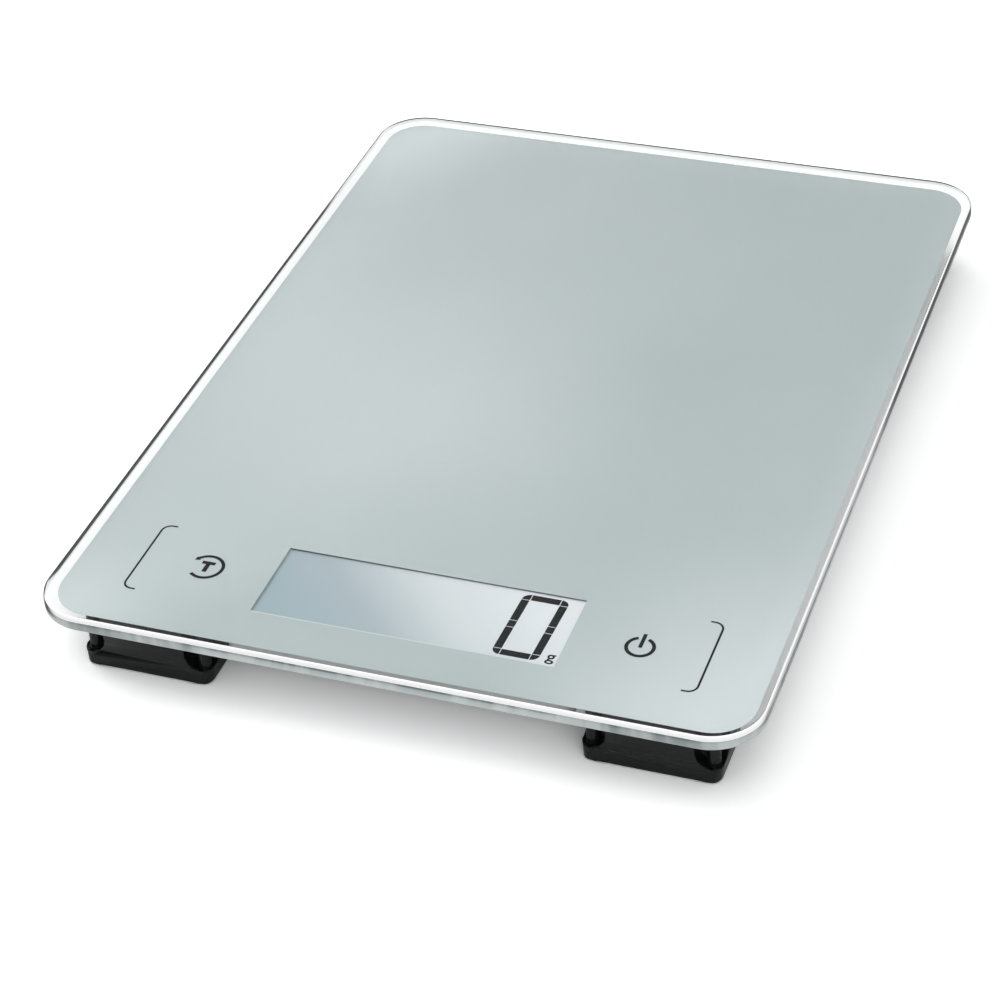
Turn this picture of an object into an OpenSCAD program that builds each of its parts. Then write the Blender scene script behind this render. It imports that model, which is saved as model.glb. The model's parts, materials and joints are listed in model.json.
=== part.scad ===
// Flat glass kitchen scale: a printed glass platform on four sensor feet, with
// the display, the board and the battery bay in one housing under the glass.
// Origin: centre of the footprint, on the table. X right, Y to the rear, Z up.

/* [Glass platform] */
// Width of the glass, left to right
glass_w = 156; // [150:1:170]
// Depth of the glass, front to rear
glass_d = 216; // [205:1:235]
// Thickness of the glass
glass_t = 3.5; // [3:0.1:5]
// Corner radius of the glass
glass_r = 11.5; // [9:0.5:16]
// Polished bevel round the top edge
top_bevel = 1; // [0.5:0.1:1.2]
// Small bevel round the lower edge
low_bevel = 0.4; // [0.2:0.1:0.8]

/* [Printed layer] */
// Clear margin between the print and the side and rear edges of the glass
print_margin = 2.4; // [2:0.1:4]
// Clear margin between the print and the front edge of the glass
print_front = 3.6; // [2:0.1:4]
// Thickness of the printed layer
print_t = 0.1; // [0.05:0.05:0.2]

/* [Display] */
// Depth of the clear window, front to rear
window_d = 21.7; // [18:0.5:23]
// Distance from the front edge of the glass to the window
window_front = 14.3; // [14:0.5:18]
// How far the display panel reaches past the window on each side
lcd_border = 1.5; // [1:0.5:2]
// Thickness of the display panel
lcd_t = 2.8; // [2:0.1:3]
// Wall of the frame that holds the display panel
lcd_frame_wall = 0.8; // [0.6:0.1:1]
// Gap between that frame and the housing on the left and right
frame_side_gap = 1.1; // [0.5:0.1:3]
// Gap between that frame and the housing in front
frame_front_gap = 0.5; // [0.3:0.1:1]
// Width of the shelf in that frame that the panel lies on
lcd_shelf = 0.9; // [0.6:0.1:1]
// How far the frame's rim stands up round the panel
lcd_rim = 1.2; // [0.8:0.1:1.4]
// Width of a rubber connector strip
strip_w = 1.8; // [1.2:0.2:2]
// Height of the connector strips between the panel and the board
strip_h = 2.5; // [2:0.1:3]

/* [Circuit board] */
// Thickness of the circuit board
board_t = 1.2; // [0.8:0.2:1.6]
// Height of the posts that the board stands on
board_post_h = 0.6; // [0.4:0.1:1]
// Radius of those posts
board_post_r = 2; // [1.6:0.1:2.5]
// Radius of the black cap over the processor
cap_r = 5; // [4:0.5:6]

/* [Electronics housing] */
// Gap between the housing and the foot on each side of it
house_gap = 0.9; // [0.5:0.1:4]
// Room for the board's screws behind the display's frame
screw_room = 6.2; // [6:0.1:10]
// Solid rib between the board's room and the battery bay
bay_rib = 3.6; // [1.4:0.2:6]
// Wall of the housing
house_wall = 1.4; // [1.2:0.1:1.6]
// Roof over the battery bay
bay_roof = 0.8; // [0.6:0.1:1]
// Corner radius of the housing
house_r = 3; // [2:0.5:5]
// Bevel round the floor of the deep part
house_bevel = 0.6; // [0.3:0.1:0.8]
// Clearance between the deep part and the table
house_clear = 1.5; // [1.2:0.1:2]
// Thickness of the tape between the housing and the print
house_tape_t = 0.4; // [0.2:0.1:0.5]
// Width of that tape
house_tape_w = 1.2; // [0.8:0.1:1.2]

/* [Batteries] */
// Diameter of a cell
cell_dia = 10.5; // [10:0.1:10.5]
// Length of a cell with its nub
cell_len = 44.5; // [43:0.5:44.5]
// Radius of the nub
nub_r = 1.9; // [1.5:0.1:2.5]
// Length of the nub
nub_len = 1.1; // [0.8:0.1:1.5]
// Play above and below the cells
cell_play = 0.1; // [0.1:0.05:0.2]
// Gap between the two cells
cell_gap = 1.2; // [0.8:0.1:1.4]
// Width of the battery bay
bay_w = 53; // [51:0.5:54]
// Thickness of the sheet metal contacts
contact_t = 0.3; // [0.2:0.1:0.4]
// How far a contact reaches to each side of a cell's axis
contact_reach = 4; // [3:0.5:4.5]
// Wire radius of the battery springs
spring_wire_r = 0.35; // [0.25:0.05:0.45]
// Radius of the widest turn of a battery spring
spring_r = 3.6; // [3:0.1:4]
// Turns of a battery spring
spring_turns = 4; // [3:1:5]

/* [Battery door] */
// Thickness of the door
door_t = 1; // [0.9:0.1:1.2]
// Running clearance round the door
door_play = 0.2; // [0.15:0.05:0.3]
// How far the door's tongues reach into their grooves
tongue_w = 1; // [0.8:0.1:1.2]
// Thickness of the tongues
tongue_t = 0.5; // [0.4:0.1:0.6]
// Number of finger grooves in the door
door_grooves = 5; // [3:1:7]
// Width of the longest finger groove
groove_w = 14; // [10:1:20]
// Depth of the finger grooves
groove_t = 0.4; // [0.2:0.1:0.5]

/* [Unit button] */
// Radius of the button
button_r = 3; // [2.5:0.1:3.2]
// Travel of the button
button_travel = 0.6; // [0.4:0.1:0.8]
// Running clearance round the button
button_play = 0.2; // [0.15:0.05:0.3]
// Room round the button's flange in its side of the housing
button_room = 0.55; // [0.4:0.05:2]
// How far the button stands back from the housing's floor
button_inset = 0.5; // [0.3:0.1:1]
// How far the flange that keeps the button in reaches past it
button_flange_w = 0.8; // [0.5:0.1:0.8]
// Side of the square switch above the button
switch_size = 5; // [4:0.5:6]
// Height of that switch
switch_h = 2.4; // [2:0.1:3]

/* [Sensor feet] */
// Width of a foot housing
foot_w = 30.6; // [30:0.2:31]
// Depth of a foot housing
foot_d = 34; // [33:0.5:36]
// Corner radius of a foot housing
foot_r = 2.6; // [2:0.1:3]
// Distance from the side edge of the glass to a foot
foot_side = 7.6; // [7:0.2:8.2]
// Distance from the front or rear edge of the glass to a foot
foot_end = 6.5; // [6:0.5:8]
// Wall of a foot housing
foot_wall = 1.6; // [1.4:0.1:1.8]
// How much narrower each side of a foot is at its bottom than under its lip
foot_draft = 0.8; // [0.5:0.1:1]
// Gap between a foot housing and the table
foot_clear = 0.6; // [0.6:0.1:1]
// Thickness of the foam tape between a foot and the print
foot_tape_t = 0.8; // [0.4:0.1:1]
// How far the lip round the top of a foot stands proud
lip_w = 0.9; // [0.4:0.1:1]
// Height of that lip
lip_h = 1; // [0.6:0.1:1.5]
// Radius of the round pocket at each corner of a foot
pocket_r = 4; // [3.8:0.1:4.2]
// Distance from the faces of a foot to the middle of a pocket
pocket_in = 2.8; // [2.6:0.1:3]
// Thickness of the foot below a pocket
pocket_base = 1; // [0.8:0.1:1.5]
// Radius of the post that stands in each pocket
post_r = 1.5; // [1.2:0.1:1.8]
// Thickness of the cover under a foot
cover_t = 1.6; // [1.4:0.1:1.8]
// Bevel round the lower edge of that cover
cover_bevel = 0.2; // [0.1:0.1:0.3]

/* [Load cells] */
// Width of a load cell
cell_plate_w = 24; // [22:0.5:25]
// Depth of a load cell
cell_plate_d = 17; // [15:0.5:17]
// Thickness of a load cell
cell_plate_t = 1.2; // [0.8:0.1:1.5]
// Width of the cut round the bending tongue
cell_slot = 1.2; // [0.8:0.1:1.5]
// Width of the bending tongue
cell_tongue_w = 10; // [8:0.5:11]
// Height of the ribs that the load cell bears on
rib_h = 3.4; // [3:0.1:3.6]
// Width of those ribs
rib_w = 2; // [1.5:0.1:2.5]
// Radius of the pressure point under the tongue
dimple_r = 2; // [1.5:0.1:2.5]
// Height of the pressure point
dimple_h = 0.8; // [0.5:0.1:1]
// Width of a strain gauge
gauge_w = 6; // [4:0.5:8]
// Depth of a strain gauge
gauge_d = 4; // [3:0.5:5]

/* [Moving feet] */
// Radius of a moving foot
plunger_r = 9.8; // [9:0.1:10.2]
// Running clearance of a moving foot in its cover
plunger_play = 0.3; // [0.2:0.05:0.4]
// How far the flange of a moving foot reaches past it
flange_w = 1.2; // [1:0.1:1.5]
// Thickness of that flange
flange_t = 1.2; // [1:0.1:1.5]
// Radius of the stem that presses on the load cell
stem_r = 3; // [2.5:0.1:4]
// How far a foot gives under full load
foot_travel = 0.4; // [0.3:0.05:0.5]
// Thickness of the rubber pad
pad_t = 1.6; // [1.4:0.1:1.8]
// Depth of the pad's seat in the foot
pad_seat = 0.5; // [0.4:0.1:0.6]
// Radius of the rubber pad
pad_r = 8.6; // [8:0.1:8.8]
// Bevel round the edge that the pad stands on
pad_bevel = 0.3; // [0.2:0.1:0.5]

/* [Sensor cables] */
// Radius of a sensor cable
cable_r = 0.8; // [0.6:0.1:1]
// Width of a cable duct
duct_w = 6; // [5:0.5:7]
// Distance from the middle of a foot to its cable's way in
cable_offset = 6; // [5.5:0.1:6.2]
// Wall of a cable duct
duct_wall = 1; // [0.8:0.1:1.2]
// Gap between a duct and the housing beside it
duct_gap = 0.4; // [0.3:0.1:0.8]

/* [Screws] */
// Shank radius of the small screws
screw_r = 0.8; // [0.6:0.1:0.9]
// Head radius of the small screws
screw_head_r = 1.5; // [1.3:0.1:1.8]
// Head height of the small screws
screw_head_h = 0.8; // [0.6:0.1:1]
// Clearance round a screw in a plain hole
screw_play = 0.1; // [0.1:0.05:0.2]
// Shank length of the small screws
screw_len = 4; // [3:0.5:5]

/* [Hidden] */
$fn = 48;
fit = 0.2;
slip = 0.1;
cut = 1;
front = -glass_d / 2;

// The stack under the battery bay sets how high the glass stands
cell_r = cell_dia / 2;
door_z = house_clear;
cell_z = door_z + door_t + cell_play + cell_r;
bay_top = cell_z + cell_r + cell_play;
house_top = bay_top + bay_roof;
print_z = house_top + house_tape_t;
glass_z = print_z + print_t;
print_r = glass_r - print_margin;

// feet, each about its own centre
foot_x = glass_w / 2 - foot_side - foot_w / 2;
foot_y = glass_d / 2 - foot_end - foot_d / 2;
foot_top = print_z - foot_tape_t;
cover_z = foot_clear;
foot_z = cover_z + cover_t;
foot_roof = foot_top - foot_wall;
cell_plate_z = foot_roof - rib_h - cell_plate_t;
cell_plate_top = foot_roof - rib_h;
rib_x = cell_plate_w / 2 - 1.5;
post_x = foot_w / 2 - pocket_in;
post_y = foot_d / 2 - pocket_in;
boss_r = pocket_r + 1;
pocket_z = foot_top - lip_h;
pocket_floor = foot_z + pocket_base;
flange_z = foot_z + slip;
stem_top = cell_plate_z - dimple_h - foot_travel - slip;
pad_z = pad_t - pad_seat;
touch_r = 6.5;
touch_t = 0.2;
touch_play = 1;

// display and board, from the housing's rim downwards
window_y = front + window_front + window_d / 2;
lcd_d = window_d + 2 * lcd_border;
frame_d = lcd_d + 2 * lcd_frame_wall + fit;
lcd_z = house_top - lcd_t;
board_top = lcd_z - strip_h;
board_z = board_top - board_t;
shallow_floor = board_z - board_post_h;
shallow_clear = shallow_floor - house_wall;

// battery bay and the room for the button beside it, which set the deep part's size
bay_d = 2 * cell_dia + cell_gap + 4 * fit;
pocket_x0 = bay_w / 2 + house_wall;
pocket_x1 = pocket_x0 + 2 * (button_r + button_flange_w + button_room);
button_x = (pocket_x0 + pocket_x1) / 2;
deep_w = 2 * (pocket_x1 + house_wall);
house_deep_d = bay_rib + bay_d + house_wall;

// housing: the shallow part fills the space between the front feet and holds the display
house_w = 2 * (foot_x - foot_w / 2 - lip_w - house_gap);
frame_w = house_w - 2 * house_wall - 2 * frame_side_gap;
lcd_w = frame_w - 2 * lcd_frame_wall - fit;
window_w = lcd_w - 2 * lcd_border;
house_shallow_d = frame_front_gap + frame_d + screw_room + 2 * house_wall;
house_y0 = window_y - frame_d / 2 - frame_front_gap - house_wall;
house_side = max(house_w, deep_w) / 2;
house_step_y = house_y0 + house_shallow_d;
house_y1 = house_step_y + house_deep_d;
deep_y = house_y1 - house_deep_d / 2;
deep_floor = house_clear + house_wall;
board_w = house_w - 2 * house_wall - 2 * fit;
board_d = house_shallow_d - 2 * house_wall - 2 * fit;
board_y = house_y0 + house_shallow_d / 2;
board_post_x = board_w / 2 - board_post_r;
board_post_y = board_d / 2 - board_post_r;

// places in the battery bay
bay_y1 = house_y1 - house_wall;
bay_y0 = bay_y1 - bay_d;
cell_y = [bay_y0 + 2 * fit + cell_r, bay_y1 - 2 * fit - cell_r];
spring_len = bay_w - 2 * contact_t - cell_len;
door_w = bay_w - 2 * tongue_w - 2 * door_play;
tongue_z = door_z + (door_t - tongue_t) / 2;
door_y0 = bay_y0 + door_play;
door_slot_z = door_z + door_t + door_play;

// unit button and its switch board
button_y = (bay_y0 + bay_y1) / 2;
button_z = house_clear + button_inset;
button_flange_t = 1;
switch_stem_r = 1.2;
switch_stem_h = 0.8;

// cables and ducts
duct_x = foot_x - cable_offset;
duct_x0 = house_side + duct_gap;
duct_y0 = bay_y0 + duct_w;
duct_y1 = foot_y - foot_d / 2 - lip_w - fit;
cable_z = foot_roof - cable_r - fit;
duct_z = cable_z - cable_r - duct_wall;
duct_h = house_top - duct_z;
notch_r = cable_r + fit;
front_cable_y = -foot_y + cable_offset;
rear_cable_y = duct_y0 + duct_w / 2;

// the switch board lies just below the cable that crosses its room
switch_board_z = cable_z - cable_r - fit - board_t;
switch_z = switch_board_z - switch_h;
button_top = switch_z - switch_stem_h - button_travel - fit;

// ---- shapes that several parts share ----

// A box about the origin in X and Y with round upright corners
module round_box(w, d, h, r) {
    linear_extrude(h) round_square(w, d, r);
}

module round_square(w, d, r) {
    square([w - 2 * r, d], center = true);
    square([w, d - 2 * r], center = true);
    for (x = [-1, 1], y = [-1, 1])
        translate([x * (w / 2 - r), y * (d / 2 - r)]) circle(r);
}

// The same box with a bevel round its lower edge, and round its top edge if top isn't 0
module bevelled_box(w, d, h, r, top, low) {
    edged_box(w, d, r, concat([[low, 0], [0, low]], top > 0 ? [[0, h - top], [top, h]] : [[0, h]]));
}

// The same box with sides that follow an edge: how far in and how high, from the bottom up
module edged_box(w, d, r, edge) {
    edged_bar(w, d - 2 * r, edge);
    rotate([0, 0, 90]) edged_bar(d, w - 2 * r, edge);
    for (x = [-1, 1], y = [-1, 1])
        translate([x * (w / 2 - r), y * (d / 2 - r), 0]) rotate_extrude()
            polygon(concat([[0, 0]], [for (p = edge) [r - p[0], p[1]]],
                [[0, edge[len(edge) - 1][1]]]));
}

// A bar along Y with that edge on both sides
module edged_bar(w, length, edge) {
    near = [for (p = edge) [w / 2 - p[0], p[1]]];
    far = [for (i = [len(edge) - 1 : -1 : 0]) [-near[i][0], edge[i][1]]];
    translate([0, length / 2, 0]) rotate([90, 0, 0]) linear_extrude(length)
        polygon(concat(near, far));
}

// A round cable along straight runs with ball joints at the bends
module cable_run(points, r) {
    for (i = [0 : len(points) - 2]) {
        run = points[i + 1] - points[i];
        span = norm(run);
        translate(points[i]) rotate([0, acos(run[2] / span), atan2(run[1], run[0])])
            cylinder(h = span, r = r);
        if (i > 0) translate(points[i]) sphere(r);
    }
}

// A small cross-head screw, its shank up from the head's seat at the origin
module small_screw(length) {
    slot = [1.1 * screw_head_r, 0.25 * screw_head_r, screw_head_h];
    difference() {
        union() {
            cylinder(h = length, r = screw_r);
            translate([0, 0, -screw_head_h]) cylinder(h = screw_head_h, r = screw_head_r);
        }
        for (a = [0, 90]) rotate([0, 0, a]) translate([0, 0, -screw_head_h])
            cube(slot, center = true);
    }
}

// Places a foot's parts at a corner: side is -1 on the left, end is -1 at the front
module at_foot(side, end) {
    translate([side * foot_x, end * foot_y, 0]) children();
}

module at_corners(x, y) {
    for (i = [-1, 1], j = [-1, 1]) translate([i * x, j * y, 0]) children();
}

// ---- glass and print ----

module glass_platform() {
    color([0.86, 0.93, 0.92, 0.45]) translate([0, 0, glass_z])
        bevelled_box(glass_w, glass_d, glass_t, glass_r, top_bevel, low_bevel);
}

module silver_print() {
    color([0.74, 0.77, 0.77]) difference() {
        translate([0, (print_front - print_margin) / 2, print_z])
            round_box(glass_w - 2 * print_margin, glass_d - print_margin - print_front,
                print_t, print_r);
        translate([-window_w / 2, window_y - window_d / 2, print_z - cut])
            cube([window_w, window_d, print_t + 2 * cut]);
    }
}

module touch_electrode(side) {
    color([0.85, 0.55, 0.35])
        translate([side * foot_x, -foot_y, print_z - touch_t]) cylinder(h = touch_t, r = touch_r);
}

// ---- display ----

// Two panes, the upper one reaching past the lower on the left and right
module display_panel() {
    pane_t = lcd_t / 2;
    lower_w = lcd_w - lcd_shelf;
    color([0.72, 0.78, 0.80]) translate([0, window_y, lcd_z]) {
        translate([-lcd_w / 2, -lcd_d / 2, pane_t]) cube([lcd_w, lcd_d, pane_t]);
        translate([-lower_w / 2, -lcd_d / 2, 0]) cube([lower_w, lcd_d, pane_t]);
    }
}

module display_frame() {
    h = strip_h + lcd_rim;
    inner_w = lcd_w - 2 * lcd_shelf;
    inner_d = lcd_d - 2 * lcd_shelf;
    color([0.92, 0.92, 0.90]) translate([0, window_y, board_top]) difference() {
        translate([-frame_w / 2, -frame_d / 2, 0]) cube([frame_w, frame_d, h]);
        translate([-lcd_w / 2 - fit / 2, -lcd_d / 2 - fit / 2, strip_h])
            cube([lcd_w + fit, lcd_d + fit, h]);
        translate([-inner_w / 2, -inner_d / 2, -cut]) cube([inner_w, inner_d, h]);
    }
}

// Soft strips that stand on the board inside the frame and press against the panel
module display_connector_strips() {
    strip_x = lcd_w / 2 - lcd_shelf - 2 * strip_w;
    strip_y = lcd_d / 2 - lcd_shelf - strip_w / 2 - fit;
    color([0.85, 0.55, 0.60]) for (side = [-1, 1])
        translate([-strip_x, window_y + side * strip_y - strip_w / 2, board_top])
            cube([2 * strip_x, strip_w, strip_h]);
}

// ---- board ----

module circuit_board() {
    color([0.10, 0.36, 0.20]) difference() {
        translate([-board_w / 2, board_y - board_d / 2, board_z])
            cube([board_w, board_d, board_t]);
        translate([0, board_y, board_z - cut]) at_corners(board_post_x, board_post_y)
            cylinder(h = board_t + 2 * cut, r = screw_r + screw_play);
    }
}

// A low dome of black resin over the bare processor
module processor_cap() {
    foot_h = 0.12 * cap_r;
    color([0.08, 0.08, 0.09]) translate([-1.8 * cap_r, window_y, board_top]) {
        cylinder(h = foot_h, r = cap_r);
        translate([0, 0, foot_h]) cylinder(h = 0.8 * foot_h, r1 = cap_r, r2 = cap_r / 2);
    }
}

// Rows of small resistors, and two round capacitors beside the processor
module board_components() {
    chip = [1.6, 0.8, 0.7];
    can_r = 1.6;
    pitch = (lcd_w / 2 - lcd_shelf - can_r) / 9;
    color([0.45, 0.36, 0.26]) translate([0, window_y, board_top]) {
        for (column = [1 : 6], row = [-1, 0, 1])
            translate([column * pitch, row * 2 * can_r, 0]) cube(chip);
        for (column = [7, 8.5]) translate([-column * pitch, 0, 0]) cylinder(h = can_r, r = can_r);
    }
}

// The board's front corners lie under the display's frame, so it is screwed at the rear
module board_screws() {
    bite = 0.8;
    color([0.75, 0.75, 0.77]) for (x = [-1, 1])
        translate([x * board_post_x, board_y + board_post_y, board_top])
            mirror([0, 0, 1]) small_screw(board_t + board_post_h + bite);
}

// ---- electronics housing ----

module electronics_housing() {
    deep_h = house_top - house_clear;
    color([0.62, 0.63, 0.64]) difference() {
        union() {
            translate([0, 0, shallow_clear]) linear_extrude(house_top - shallow_clear)
                housing_outline(0);
            translate([0, deep_y, house_clear])
                bevelled_box(deep_w, house_deep_d, deep_h, house_r, 0, house_bevel);
        }
        board_room();
        battery_bay();
        door_track();
        side_rooms();
        cable_notches();
    }
}

// The housing's rim seen from above, drawn in by the given amount
module housing_outline(inset) {
    d = house_y1 - house_y0;
    translate([0, (house_y0 + house_y1) / 2])
        round_square(house_w - 2 * inset, d - 2 * inset, house_r - inset);
    translate([0, deep_y])
        round_square(deep_w - 2 * inset, house_deep_d - 2 * inset, house_r - inset);
}

// The open-topped room for the board and the display, with posts for the board
module board_room() {
    difference() {
        translate([-house_w / 2 + house_wall, house_y0 + house_wall, shallow_floor])
            cube([house_w - 2 * house_wall, house_shallow_d - 2 * house_wall, house_top]);
        translate([0, board_y, shallow_floor - cut]) at_corners(board_post_x, board_post_y)
            cylinder(h = board_post_h + cut, r = board_post_r);
    }
    translate([0, board_y, shallow_clear + house_wall / 3]) at_corners(board_post_x, board_post_y)
        cylinder(h = house_top, r = screw_r);
}

// The bay is open below, where the door closes it
module battery_bay() {
    translate([-bay_w / 2, bay_y0, deep_floor]) cube([bay_w, bay_d, bay_top - deep_floor]);
    translate([-door_w / 2 - door_play, bay_y0, -cut])
        cube([door_w + 2 * door_play, bay_d, deep_floor + 2 * cut]);
}

// Slot under the rear wall and the grooves that the door slides in
module door_track() {
    reach = house_y1 - bay_y0 + cut;
    translate([-door_w / 2 - door_play, bay_y0, -cut])
        cube([door_w + 2 * door_play, reach, door_slot_z + cut]);
    translate([-door_w / 2 - tongue_w - door_play, bay_y0, tongue_z - door_play])
        cube([door_w + 2 * tongue_w + 2 * door_play, reach, tongue_t + 2 * door_play]);
}

// Open-topped rooms beside the bay, for the unit switch and the cables
module side_rooms() {
    for (side = [0, 1]) mirror([side, 0, 0])
        translate([pocket_x0, bay_y0, deep_floor]) cube([pocket_x1 - pocket_x0, bay_d, house_top]);
    translate([button_x, button_y, 0]) cylinder(h = cell_z, r = button_r + button_play);
}

// One notch a side from the front foot and one from the duct
module cable_notches() {
    for (side = [-1, 1]) {
        translate([side * house_w / 2, front_cable_y, cable_z]) cable_notch(4 * house_wall);
        translate([side * (pocket_x1 + house_side) / 2, rear_cable_y, cable_z])
            cable_notch(house_side - pocket_x1 + 2 * cut);
    }
}

module cable_notch(length) {
    rotate([0, 90, 0]) cylinder(h = length, r = notch_r, center = true);
}

module housing_tape() {
    color([0.85, 0.83, 0.75]) translate([0, 0, house_top]) linear_extrude(house_tape_t)
        difference() {
            housing_outline(0);
            housing_outline(house_tape_w);
        }
}

// ---- batteries, contacts and door ----

module cell(index) {
    side = index == 0 ? 1 : -1;
    color([0.25, 0.42, 0.30])
        translate([side * (bay_w / 2 - contact_t - cell_len), cell_y[index], cell_z])
            rotate([0, side * 90, 0]) {
                cylinder(h = cell_len - nub_len, r = cell_r);
                cylinder(h = cell_len, r = nub_r);
            }
}

// A flat contact at one end of the bay, behind the cells from y0 to y1
module contact(x, y0, y1) {
    color([0.80, 0.80, 0.82]) translate([x, y0 - contact_reach, cell_z - contact_reach])
        cube([contact_t, y1 - y0 + 2 * contact_reach, 2 * contact_reach]);
}

module series_contact() {
    contact(-bay_w / 2, cell_y[0], cell_y[1]);
}

module positive_contact() {
    contact(bay_w / 2 - contact_t, cell_y[0], cell_y[0]);
}

module negative_contact() {
    contact(bay_w / 2 - contact_t, cell_y[1], cell_y[1]);
}

// One conical spring along +Z: rings of a round wire swept along the coil
module coil_spring(length, r, wire, turns) {
    sides = 8;
    steps = 16 * turns;
    taper = 0.35;
    centre = function(i) let (a = 360 * turns * i / steps, q = r * (1 - taper * i / steps))
        [q * cos(a), q * sin(a), wire + (length - 2 * wire) * i / steps];
    ring = function(i) let (a = 360 * turns * i / steps)
        [for (k = [0 : sides - 1]) let (b = 360 * k / sides)
            centre(i) + wire * [cos(b) * cos(a), cos(b) * sin(a), sin(b)]];
    points = [for (i = [0 : steps]) each ring(i)];
    walls = [for (i = [0 : steps - 1], k = [0 : sides - 1]) let (n = (k + 1) % sides)
        [i * sides + k, (i + 1) * sides + k, (i + 1) * sides + n, i * sides + n]];
    start = [for (k = [0 : sides - 1]) k];
    end = [for (k = [sides - 1 : -1 : 0]) steps * sides + k];
    polyhedron(points, concat(walls, [start, end]));
}

module battery_springs() {
    color([0.80, 0.80, 0.82]) {
        translate([-bay_w / 2 + contact_t, cell_y[0], cell_z]) rotate([0, 90, 0])
            coil_spring(spring_len, spring_r, spring_wire_r, spring_turns);
        translate([bay_w / 2 - contact_t, cell_y[1], cell_z]) rotate([0, -90, 0])
            coil_spring(spring_len, spring_r, spring_wire_r, spring_turns);
    }
}

// A flat door with a tongue along each side and finger grooves near its rear edge
module battery_door() {
    d = house_y1 - door_y0;
    pitch = 1.6;
    color([0.62, 0.63, 0.64]) difference() {
        union() {
            translate([-door_w / 2, door_y0, door_z]) cube([door_w, d, door_t]);
            translate([-door_w / 2 - tongue_w, door_y0, tongue_z])
                cube([door_w + 2 * tongue_w, d, tongue_t]);
        }
        for (i = [0 : door_grooves - 1]) translate([0, house_y1 - (3 + i) * pitch, door_z])
            cube([groove_w - 2 * i * groove_t, pitch / 2, 2 * groove_t], center = true);
    }
}

// ---- unit button ----

module unit_button() {
    color([0.16, 0.16, 0.17]) translate([button_x, button_y, 0]) {
        translate([0, 0, button_z]) cylinder(h = button_top - button_z, r = button_r);
        translate([0, 0, deep_floor + slip])
            cylinder(h = button_flange_t, r = button_r + button_flange_w);
    }
}

module unit_switch() {
    color([0.20, 0.20, 0.21]) translate([button_x, button_y, 0]) {
        translate([-switch_size / 2, -switch_size / 2, switch_z])
            cube([switch_size, switch_size, switch_h]);
        translate([0, 0, switch_z - switch_stem_h]) cylinder(h = switch_stem_h, r = switch_stem_r);
    }
}

// A small board wedged across the button's room
module switch_board() {
    w = pocket_x1 - pocket_x0;
    d = 3 * switch_size;
    color([0.10, 0.36, 0.20])
        translate([pocket_x0, button_y - d / 2, switch_board_z]) cube([w, d, board_t]);
}

// ---- sensor feet ----

// How far the faces of a foot stand in at a height, below its lip
function foot_inset(z) = foot_draft * (pocket_z - z) / (pocket_z - cover_z);

module foot_housing(side, end) {
    h = foot_top - foot_z;
    color([0.12, 0.13, 0.12]) at_foot(side, end) {
        difference() {
            union() {
                translate([0, 0, foot_z]) edged_box(foot_w, foot_d, foot_r,
                    [[foot_inset(foot_z), 0], [0, pocket_z - foot_z], [0, h]]);
                translate([0, 0, foot_top - lip_h])
                    round_box(foot_w + 2 * lip_w, foot_d + 2 * lip_w, lip_h, foot_r + lip_w);
            }
            foot_room();
            at_corners(post_x, post_y) corner_pocket();
            at_corners(post_x, post_y) cylinder(h = foot_z + screw_len, r = screw_r);
            foot_cable_notch(side, end);
        }
        at_corners(post_x, post_y) difference() {
            translate([0, 0, pocket_floor]) cylinder(h = pocket_z - pocket_floor, r = post_r);
            translate([0, 0, foot_z]) cylinder(h = screw_len, r = screw_r);
        }
    }
}

// Hollow below the roof, less a solid boss at each corner and the load cell's ribs
module foot_room() {
    inner_w = foot_w - 2 * foot_wall;
    inner_d = foot_d - 2 * foot_wall;
    difference() {
        translate([-inner_w / 2, -inner_d / 2, foot_z - cut])
            cube([inner_w, inner_d, foot_roof - foot_z + cut]);
        at_corners(post_x, post_y) cylinder(h = foot_top, r = boss_r);
        for (x = [-1, 1]) translate([x * rib_x - rib_w / 2, -cell_plate_d / 2, cell_plate_top])
            cube([rib_w, cell_plate_d, rib_h + cut]);
    }
}

// A pocket with a ball-shaped floor that breaks out of both faces of a corner, under the lip
module corner_pocket() {
    ball_z = pocket_floor + pocket_r;
    translate([0, 0, ball_z]) {
        sphere(pocket_r);
        cylinder(h = pocket_z - ball_z, r = pocket_r);
    }
}

// The cable's way in: through the inner side wall and a rib in front, else the front wall
module foot_cable_notch(side, end) {
    if (end < 0)
        translate([-side * foot_w / 2, cable_offset, cable_z]) rotate([0, 90, 0])
            cylinder(h = foot_w - 2 * rib_x + 2 * rib_w, r = notch_r, center = true);
    else
        translate([-side * cable_offset, -foot_d / 2, cable_z]) rotate([90, 0, 0])
            cylinder(h = 3 * foot_wall, r = notch_r, center = true);
}

module foot_cover(side, end) {
    color([0.10, 0.10, 0.11]) at_foot(side, end) translate([0, 0, cover_z]) difference() {
        edged_box(foot_w, foot_d, foot_r, [[foot_draft + cover_bevel, 0],
            [foot_inset(cover_z + cover_bevel), cover_bevel], [foot_inset(foot_z), cover_t]]);
        translate([0, 0, -cut]) cylinder(h = cover_t + 2 * cut, r = plunger_r + plunger_play);
        translate([0, 0, -cut]) at_corners(post_x, post_y) {
            cylinder(h = cover_t + 2 * cut, r = screw_r + screw_play);
            cylinder(h = cut + screw_head_h, r = screw_head_r + screw_play);
        }
    }
}

module cover_screws() {
    color([0.70, 0.70, 0.72]) for (side = [-1, 1], end = [-1, 1])
        at_foot(side, end) translate([0, 0, cover_z + screw_head_h])
            at_corners(post_x, post_y) small_screw(screw_len);
}

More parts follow.
